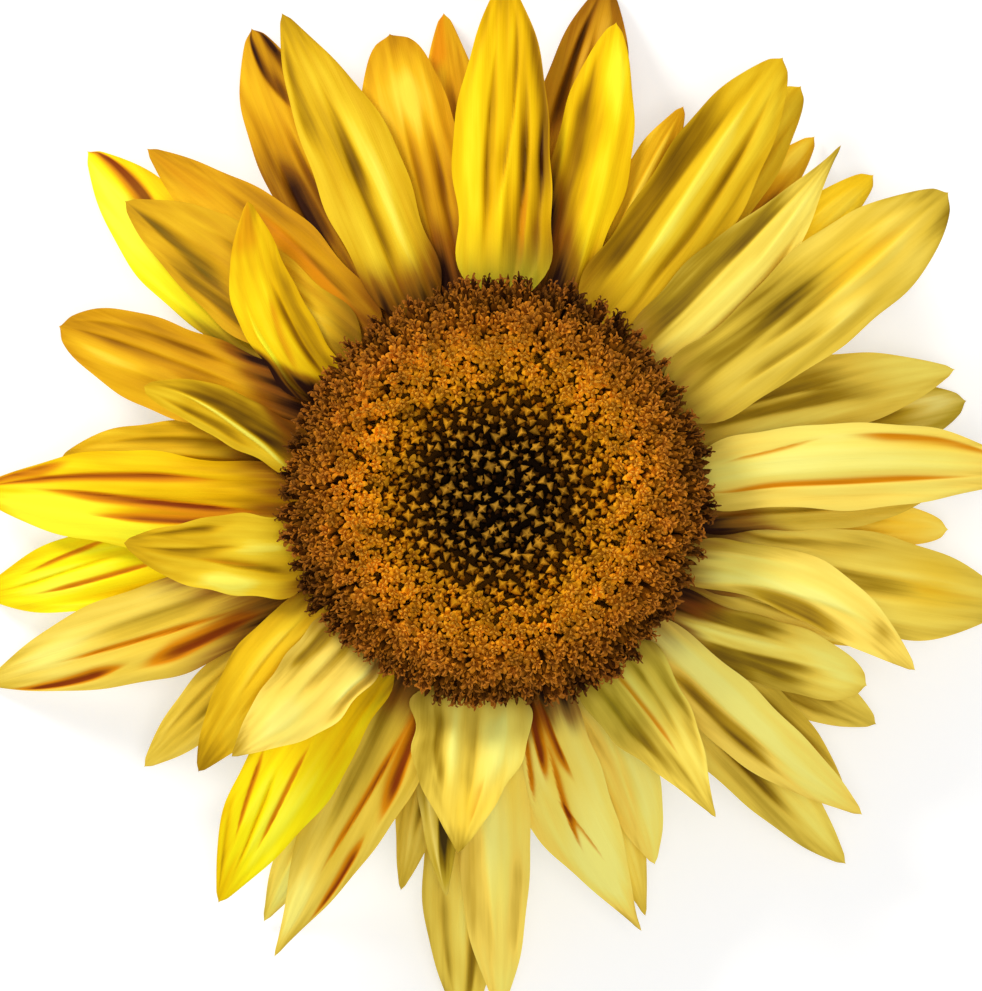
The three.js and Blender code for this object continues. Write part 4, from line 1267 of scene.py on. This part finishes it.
scale_distance, scale_bearing = disc_places(34 * MM, SCALE_PITCH, CROWDED_SCALE_PITCH, 0.2)
scale_feet, scale_tips = stand(scale_distance, scale_bearing, 0.3 * MM)
scales = copies_of(scale_kind, scale_feet, scale_tips, scale_bearing, scale_distance, OPEN_TOP,
                   scale_colours, 1.0)
scale_piece = disc_piece("disc_scales", [scales])

# %% [markdown]
# The florets' finish takes its colour from the points. Fine grain darkens it in specks, broad grain in
# clumps, and both are dry: florets are dusted with pollen and hardly shine.

# %% Floret finish
SPECK_BROWN = linear("3A1C02")
floret = Finish("floret", roughness=0.7, specular=0.06)
grain = floret.noise(floret.place(), 2600.0, 3.0, 0.6)
clumps = floret.noise(floret.place(), 330.0, 2.0, 0.5)
tinted = floret.stored("tint", output="Color")
shade = floret.mix((0.52 - grain).clamp() * 1.1, tinted, SPECK_BROWN)
shade = floret.mix((0.5 - clumps).ramp(0.0, 0.2) * 0.3, shade, SPECK_BROWN)
floret_normal = floret.bump(grain, 0.4, 0.0002)
floret_material = floret.finish(shade, roughness=0.6 + grain * 0.3, normal=floret_normal)
for piece in (bud_piece, open_piece, old_piece, scale_piece):
    piece.data.materials.append(floret_material)
print("floret finish nodes", len(floret.tree.nodes))

# %% [markdown]
# ## Head, bracts and stem
#
# Under the flower is a green cushion, flat on top and rounded below into the stem. Round it stand green
# pointed bracts with a pale midrib. The cushion is a profile turned about the axis; a bract is a small
# sheet like a petal, folded along its midrib; the stem is a ribbed tube along a line that bends under
# the head and lies on the floor. The bed under the florets is turned in the same way as the cushion.

# %% Bed and cushion
LATHE_SIDES = 96


def lathe(name, profile, colours=None):
    """A closed solid of revolution about the head's axis from (radius, height) points, top to bottom."""
    profile = np.array(profile, float)
    angle = np.arange(LATHE_SIDES) * 2 * np.pi / LATHE_SIDES
    radius = profile[:, :1] * np.ones(LATHE_SIDES)
    points = polar_points(radius, angle[None], profile[:, 1:] * np.ones(LATHE_SIDES))
    return make_piece(name, points, loft_faces(len(profile), LATHE_SIDES), None, colours)


def smooth_profile(knots, steps):
    """A spline through (radius, height) knots, against the distance along them."""
    knots = np.array(knots, float)
    distance = np.concatenate([[0], np.cumsum(np.linalg.norm(np.diff(knots, axis=0), axis=1))])
    return spline_weights(distance, np.linspace(0, distance[-1], steps)) @ knots


R = HEAD_RADIUS
bed_radii = np.linspace(0.4 * MM, 28.9 * MM, 26)
bed_top = np.stack([bed_radii, bed_height(bed_radii)], -1)
bed_under = np.stack([bed_radii[::-1] * 0.94, bed_height(bed_radii[::-1]) - 1.2 * MM], -1)
bed_profile = np.vstack([bed_top, bed_under])
bed_tint = by_radius(bed_profile[:, 0], CENTRE_BLACK, "2A1803", "94590A", "E0900E", "6A3A0A", "2A1404")
bed_tints = {"tint": np.repeat(bed_tint[:, None], LATHE_SIDES, axis=1)}
bed = lathe("disc_bed", bed_profile, bed_tints)
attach(bed, "root")

cushion_knots = [
    (0.6 * MM, HEAD_CROWN - 1.4 * MM), (0.5 * R, HEAD_CROWN - 1.8 * MM), (0.9 * R, HEAD_CROWN - 3.6 * MM),
    (R * 1.02, HEAD_CROWN - 6 * MM), (R * 1.015, HEAD_LOW + 6.5 * MM), (R * 0.93, HEAD_LOW + 3.2 * MM),
    (R * 0.66, HEAD_LOW + 1.0 * MM), (R * 0.38, HEAD_LOW - 0.4 * MM), (R * 0.26, HEAD_LOW - 1.6 * MM),
]
cushion = lathe("head_cushion", smooth_profile(cushion_knots, 60))
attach(cushion, "root")
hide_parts("receptacle")
print("cushion", round((HEAD_CROWN - HEAD_LOW) / MM, 1), "mm deep, faces", len(cushion.data.polygons))

# %% [markdown]
# Bracts are the green leaves that wrapped the bud. Long and short ones stand by turns, rooted in the
# cushion just under the petals, and fall outwards in a curve. Each is folded along its midrib, where it
# is also thicker, and sways to one side by an amount of its own.

# %% Bracts
BRACTS = 26
BRACT_WIDTH = 4.1 * MM
BRACT_ROOT = R * 0.86
BRACT_THICKNESS = 0.3 * MM
bract_low, bract_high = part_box("bracts")
BRACT_TOP = bract_high.z
BRACT_FALL = bract_high.z - bract_low.z
BRACT_REACH = (bract_high.x - bract_low.x) / 2


def leaf_values(u, v, seed):
    """What the green finish reads on a small leaf: the way along it, across it and its own number."""
    values = {"along": u + 0 * v, "across": v + 0 * u, "seed": seed * 9 + 0 * u * v}
    return {key: doubled(array) for key, array in values.items()}


def bract_piece(azimuth, reach, top, fall, seed):
    """A pointed leaf of half width w * (1.25 (u + 0.04)^0.3 (1 - u)^0.85 + 0.02), falling by u^1.7."""
    u = np.linspace(0, 1, 40)[:, None]
    v = np.linspace(-1, 1, 17)[None]
    half_width = BRACT_WIDTH * (1.25 * (u + 0.04) ** 0.3 * (1 - u) ** 0.85 + 0.02)
    radius = BRACT_ROOT + (reach - BRACT_ROOT) * u + 0 * v
    sway = 1.6 * MM * np.sin(2 * np.pi * (seed + 0.5 * u)) * u
    side = half_width * v + sway
    z = top - fall * u**1.7 + 0.22 * half_width * np.abs(v)
    z = z + 0.25 * MM * np.sin(9 * u + seed * 40) * v**2
    z = z + 1.5 * MM * math.sin(seed * 31) * u**2
    angle = azimuth + 0 * u * v
    x = AXIS_X + radius * np.cos(angle) - side * np.sin(angle)
    y = AXIS_Y + radius * np.sin(angle) + side * np.cos(angle)
    middle = np.stack([x, y, z], -1)
    rib = 1 + 1.2 * np.exp(-((v / 0.12) ** 2))
    thick = BRACT_THICKNESS * (0.35 + 0.65 * (1 - v**2)) * rib * (1 - 0.6 * u)
    lift = np.stack([0 * thick, 0 * thick, thick], -1)
    points, faces = sheet_between(middle + lift * 0.5, middle - lift)
    return points, faces, leaf_values(u, v, seed)


def joined(name, parts):
    """Many small sheets as one mesh."""
    points, faces, start = [], [], 0
    values = {key: [] for key in parts[0][2]}
    for part_points, part_faces, part_values in parts:
        flat = part_points.reshape(-1, 3)
        points.append(flat)
        faces += (np.array(part_faces) + start).tolist()
        for key, array in part_values.items():
            values[key].append(np.ravel(array))
        start += len(flat)
    whole = {key: np.concatenate(arrays) for key, arrays in values.items()}
    return make_piece(name, np.vstack(points), faces, whole)


bract_parts = []
for k in range(BRACTS):
    is_long = k % 2 == 0
    seed = (k * 0.381) % 1
    row_share = 1.0 if is_long else 0.78
    reach = R * 0.88 + (BRACT_REACH - R * 0.88) * row_share * (0.94 + 0.08 * seed)
    drop = BRACT_FALL * (0.95 if is_long else 0.6)
    level = BRACT_TOP - 0.2 * MM if is_long else BRACT_TOP + 0.9 * MM
    bract_parts.append(bract_piece(k * 2 * math.pi / BRACTS, reach, level, drop, seed))
bracts = joined("bract_leaves", bract_parts)
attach(bracts, "root")
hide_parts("bracts")
print("bracts", BRACTS, "faces", len(bracts.data.polygons))

# %% [markdown]
# The wall between bracts and florets would be bare from the side. On a real head it is covered by small
# scales, the outermost of those between the florets. Two rows of little leaves stand against it here and
# lean out under the rim.

# %% Upright scales round the wall of the head
COLLAR = 48
COLLAR_THICKNESS = 0.2 * MM


def collar_piece(k, row):
    """A small leaf of half width w * (1 - 0.96 u^2.2) against the wall, leaning out by u^3."""
    u = np.linspace(0, 1, 18)[:, None]
    v = np.linspace(-1, 1, 9)[None]
    seed = (k * 0.447 + row * 0.3) % 1
    bearing = (k + row * 0.5) * 2 * math.pi / COLLAR + 0.03 * math.sin(k * 5.0)
    side = (2.5 - 0.3 * row) * MM * (1 - u**2.2 * 0.96) * v
    radius = R + (0.35 + 0.3 * row) * MM + 2.2 * MM * u**3 - 0.5 * MM * v**2
    z = HEAD_LOW + (4.2 - 1.4 * row) * MM + (8.9 - row + seed) * MM * u + 0 * v
    x = AXIS_X + radius * math.cos(bearing) - side * math.sin(bearing)
    y = AXIS_Y + radius * math.sin(bearing) + side * math.cos(bearing)
    middle = np.stack([x, y, z], -1)
    out = np.array([math.cos(bearing), math.sin(bearing), 0.0]) * COLLAR_THICKNESS
    points, faces = sheet_between(middle + out, middle - out)
    return points, faces, leaf_values(u, v, seed)


collar = joined("head_scales", [collar_piece(k, row) for row in range(2) for k in range(COLLAR)])
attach(collar, "root")
print("scales on the wall", 2 * COLLAR)

# %% [markdown]
# The stem leaves the head downwards, bends through a quarter circle and lies on the floor. A tube along
# that line is worked out as a ring of points at each place on it, squared to the line's own direction.
# Shallow ribs run along it and turn slowly, it flares into the head, and it narrows towards the cut.

# %% The line and skin of the stem
STEM_BEARING = math.radians(265)
BEND = 15.5 * MM
NECK = 7.2 * MM
CUT_RADIUS = 5.6 * MM
STEM_REACH = 60 * MM
STEM_LIFT = 0.6 * MM
AROUND = 72
STRAIGHT_STEPS = 42


def stem_points():
    """Down, round a quarter circle, then straight; radius narrows from neck to cut and is ribbed."""
    down = np.linspace(HEAD_LOW + 1.5 * MM, CUT_RADIUS + STEM_LIFT + BEND, 5)[:-1]
    turn_angle = np.linspace(0, np.pi / 2, 28)
    straight = np.linspace(BEND, STEM_REACH, STRAIGHT_STEPS)[1:]
    out = np.concatenate([0 * down, BEND * (1 - np.cos(turn_angle)), straight])
    level = CUT_RADIUS + STEM_LIFT
    settling = level - STEM_LIFT * np.linspace(0, 1, STRAIGHT_STEPS)[1:]
    z = np.concatenate([down, level + BEND * (1 - np.sin(turn_angle)), settling])
    lean = np.concatenate([0 * down, turn_angle, np.full(STRAIGHT_STEPS - 1, np.pi / 2)])
    share = np.linspace(0, 1, len(out))[:, None]
    around = np.linspace(0, 2 * np.pi, AROUND + 1)[:-1][None]
    radius = CUT_RADIUS + (NECK - CUT_RADIUS) * (1 - np.clip(share * 1.6, 0, 1))
    ribs = 0.02 * np.cos(11 * around + 3 * share)
    radius = radius * (1 + ribs + 0.012 * np.sin(7 * around + 9 * share))
    flare = 1 + 0.25 * np.exp(-share / 0.05)
    radius = radius * flare
    sideways = radius * np.cos(around)
    rise = radius * np.sin(around)
    reach = out[:, None] + rise * np.cos(lean[:, None])
    height = z[:, None] + rise * np.sin(lean[:, None])
    return reach, sideways, height, around + 0 * share, share + 0 * around


reach, sideways, height, around, share = stem_points()
print("stem rings", reach.shape[0], "reach", round(reach.max() / MM, 1), "mm")

# %% [markdown]
# The cut end is closed by four smaller copies of the last ring, each a little further out, so that the
# pale pith bulges slightly. How much of a point is pith is stored with it, and the finish mixes the two.

# %% The cut end and the whole stem
CAP_SHARES = (0.9, 0.6, 0.25, 0.03)
PITH_SHARES = (0.6, 1, 1, 1)
BULGE = 0.25 * MM
edge = np.stack([reach[-1], sideways[-1], height[-1]], -1)
centre = np.array([reach[-1].mean(), sideways[-1].mean(), height[-1].mean()])
caps = np.array([centre + (edge - centre) * part + [BULGE * (1 - part), 0, 0] for part in CAP_SHARES])
pith = np.vstack([np.zeros_like(reach), np.array(PITH_SHARES)[:, None] * np.ones(AROUND)])
along = np.vstack([share, np.ones((len(CAP_SHARES), AROUND))])
around = np.vstack([around, np.repeat(around[-1:], len(CAP_SHARES), axis=0)])
reach = np.vstack([reach, caps[..., 0]])
sideways = np.vstack([sideways, caps[..., 1]])
height = np.vstack([height, caps[..., 2]])
dx, dy = math.cos(STEM_BEARING), math.sin(STEM_BEARING)
stem_x = AXIS_X + dx * reach - dy * sideways
stem_y = AXIS_Y + dy * reach + dx * sideways
stem_values = {"pith": pith, "along": along, "turn": around}
stem_grid = np.stack([stem_x, stem_y, height], -1)
stem = make_piece("stem_stalk", stem_grid, loft_faces(*reach.shape), stem_values)
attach(stem, "root")
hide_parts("stem")
print("stem faces", len(stem.data.polygons))

# %% [markdown]
# ## Green finishes
#
# A bract is matt mid green with a network of veins, a pale midrib and a dry tip. The same finish serves
# the scales on the wall of the head.

# %% Bract finish
leaf = Finish("bract_green", roughness=0.62, specular=0.25)
u, v, s = leaf.stored("along"), leaf.stored("across"), leaf.stored("seed")
leaf_veins = leaf.noise(leaf.vector(u * 3.0, v * 9.0, s), 1.0, 4.0, 0.6)
leaf_spots = leaf.noise(leaf.place(), 420.0, 4.0, 0.6)
midrib = (v * v * -60.0 + 1.0).clamp()
leaf_tone = leaf_veins * 0.6 + leaf_spots * 0.5 + u * -0.15
leaf_stops = [(0.25, linear("2C4A14")), (0.5, linear("5C8030")), (0.8, linear("93AC4E"))]
leaf_colour = leaf.node("ValToRGB", {"stops": leaf_stops}, {0: leaf_tone})
leaf_colour = leaf.mix(midrib * 0.6, leaf_colour, linear("B4C47A"))
leaf_colour = leaf.mix(u.ramp(0.86, 1.0) * 0.7, leaf_colour, linear("6A5A22"))
leaf_normal = leaf.bump(leaf_veins * 0.6 + leaf_spots * 0.4, 0.5, 0.0004)
leaf_material = leaf.finish(leaf_colour, roughness=0.5 + leaf_spots * 0.3, normal=leaf_normal)
bracts.data.materials.append(leaf_material)
collar.data.materials.append(leaf_material)
print("bract finish nodes", len(leaf.tree.nodes))

# %% [markdown]
# The stem is a lighter green with fibres along it and stiff short hairs, which are too fine to model and
# are raised by bump only. Its cut end shows cream pith.

# %% Stem finish
stalk = Finish("stem_green", roughness=0.6, specular=0.25)
along_stem, turned, cut = stalk.stored("along"), stalk.stored("turn"), stalk.stored("pith")
fibres = stalk.noise(stalk.vector(along_stem * 3.0, turned * 5.0, 0.0), 1.0, 4.0, 0.6)
bristles = stalk.noise(stalk.place(), 1500.0, 2.0, 0.7)
stalk_stops = [(0.3, linear("4C6A22")), (0.55, linear("7F9C44")), (0.8, linear("B0C070"))]
stalk_tone = fibres * 0.8 + bristles * 0.25
stalk_colour = stalk.node("ValToRGB", {"stops": stalk_stops}, {0: stalk_tone})
pith_grain = stalk.noise(stalk.place(), 1400.0, 3.0, 0.6)
pith_colour = stalk.mix(pith_grain, linear("E9E8C8"), linear("C9CFA0"))
stalk_colour = stalk.mix(cut, stalk_colour, pith_colour)
stalk_normal = stalk.bump(fibres * 0.7 + bristles.ramp(0.6, 0.75) * 0.5, 0.5, 0.0004)
stem.data.materials.append(stalk.finish(stalk_colour, normal=stalk_normal))
print("stem finish nodes", len(stalk.tree.nodes))

# %% [markdown]
# The cushion is a plain green skin, mottled in two sizes of grain. The bed takes its colour from its
# points, like the florets, and is the darkest and roughest thing here, since it is only seen in gaps.

# %% Cushion and bed finishes
green = Finish("head_green", roughness=0.65, specular=0.25)
skin = green.noise(green.place(), 300.0, 5.0, 0.6)
fine_skin = green.noise(green.place(), 1800.0, 2.0, 0.6)
green_stops = [(0.3, linear("56762C")), (0.55, linear("86A24A")), (0.8, linear("A9BC66"))]
green_tone = skin * 0.8 + fine_skin * 0.2
green_colour = green.node("ValToRGB", {"stops": green_stops}, {0: green_tone})
green_normal = green.bump(skin * 0.6 + fine_skin * 0.4, 0.4, 0.0004)
cushion.data.materials.append(green.finish(green_colour, normal=green_normal))

soil = Finish("disc_bed", roughness=0.85, specular=0.1)
soil_grain = soil.noise(soil.place(), 1500.0, 4.0, 0.6)
soil_colour = soil.mix(soil_grain * 0.5, soil.stored("tint", output="Color"), linear("1A0C02"))
bed.data.materials.append(soil.finish(soil_colour, normal=soil.bump(soil_grain, 0.6, 0.0004)))
print("finishes in all", len(bpy.data.materials))
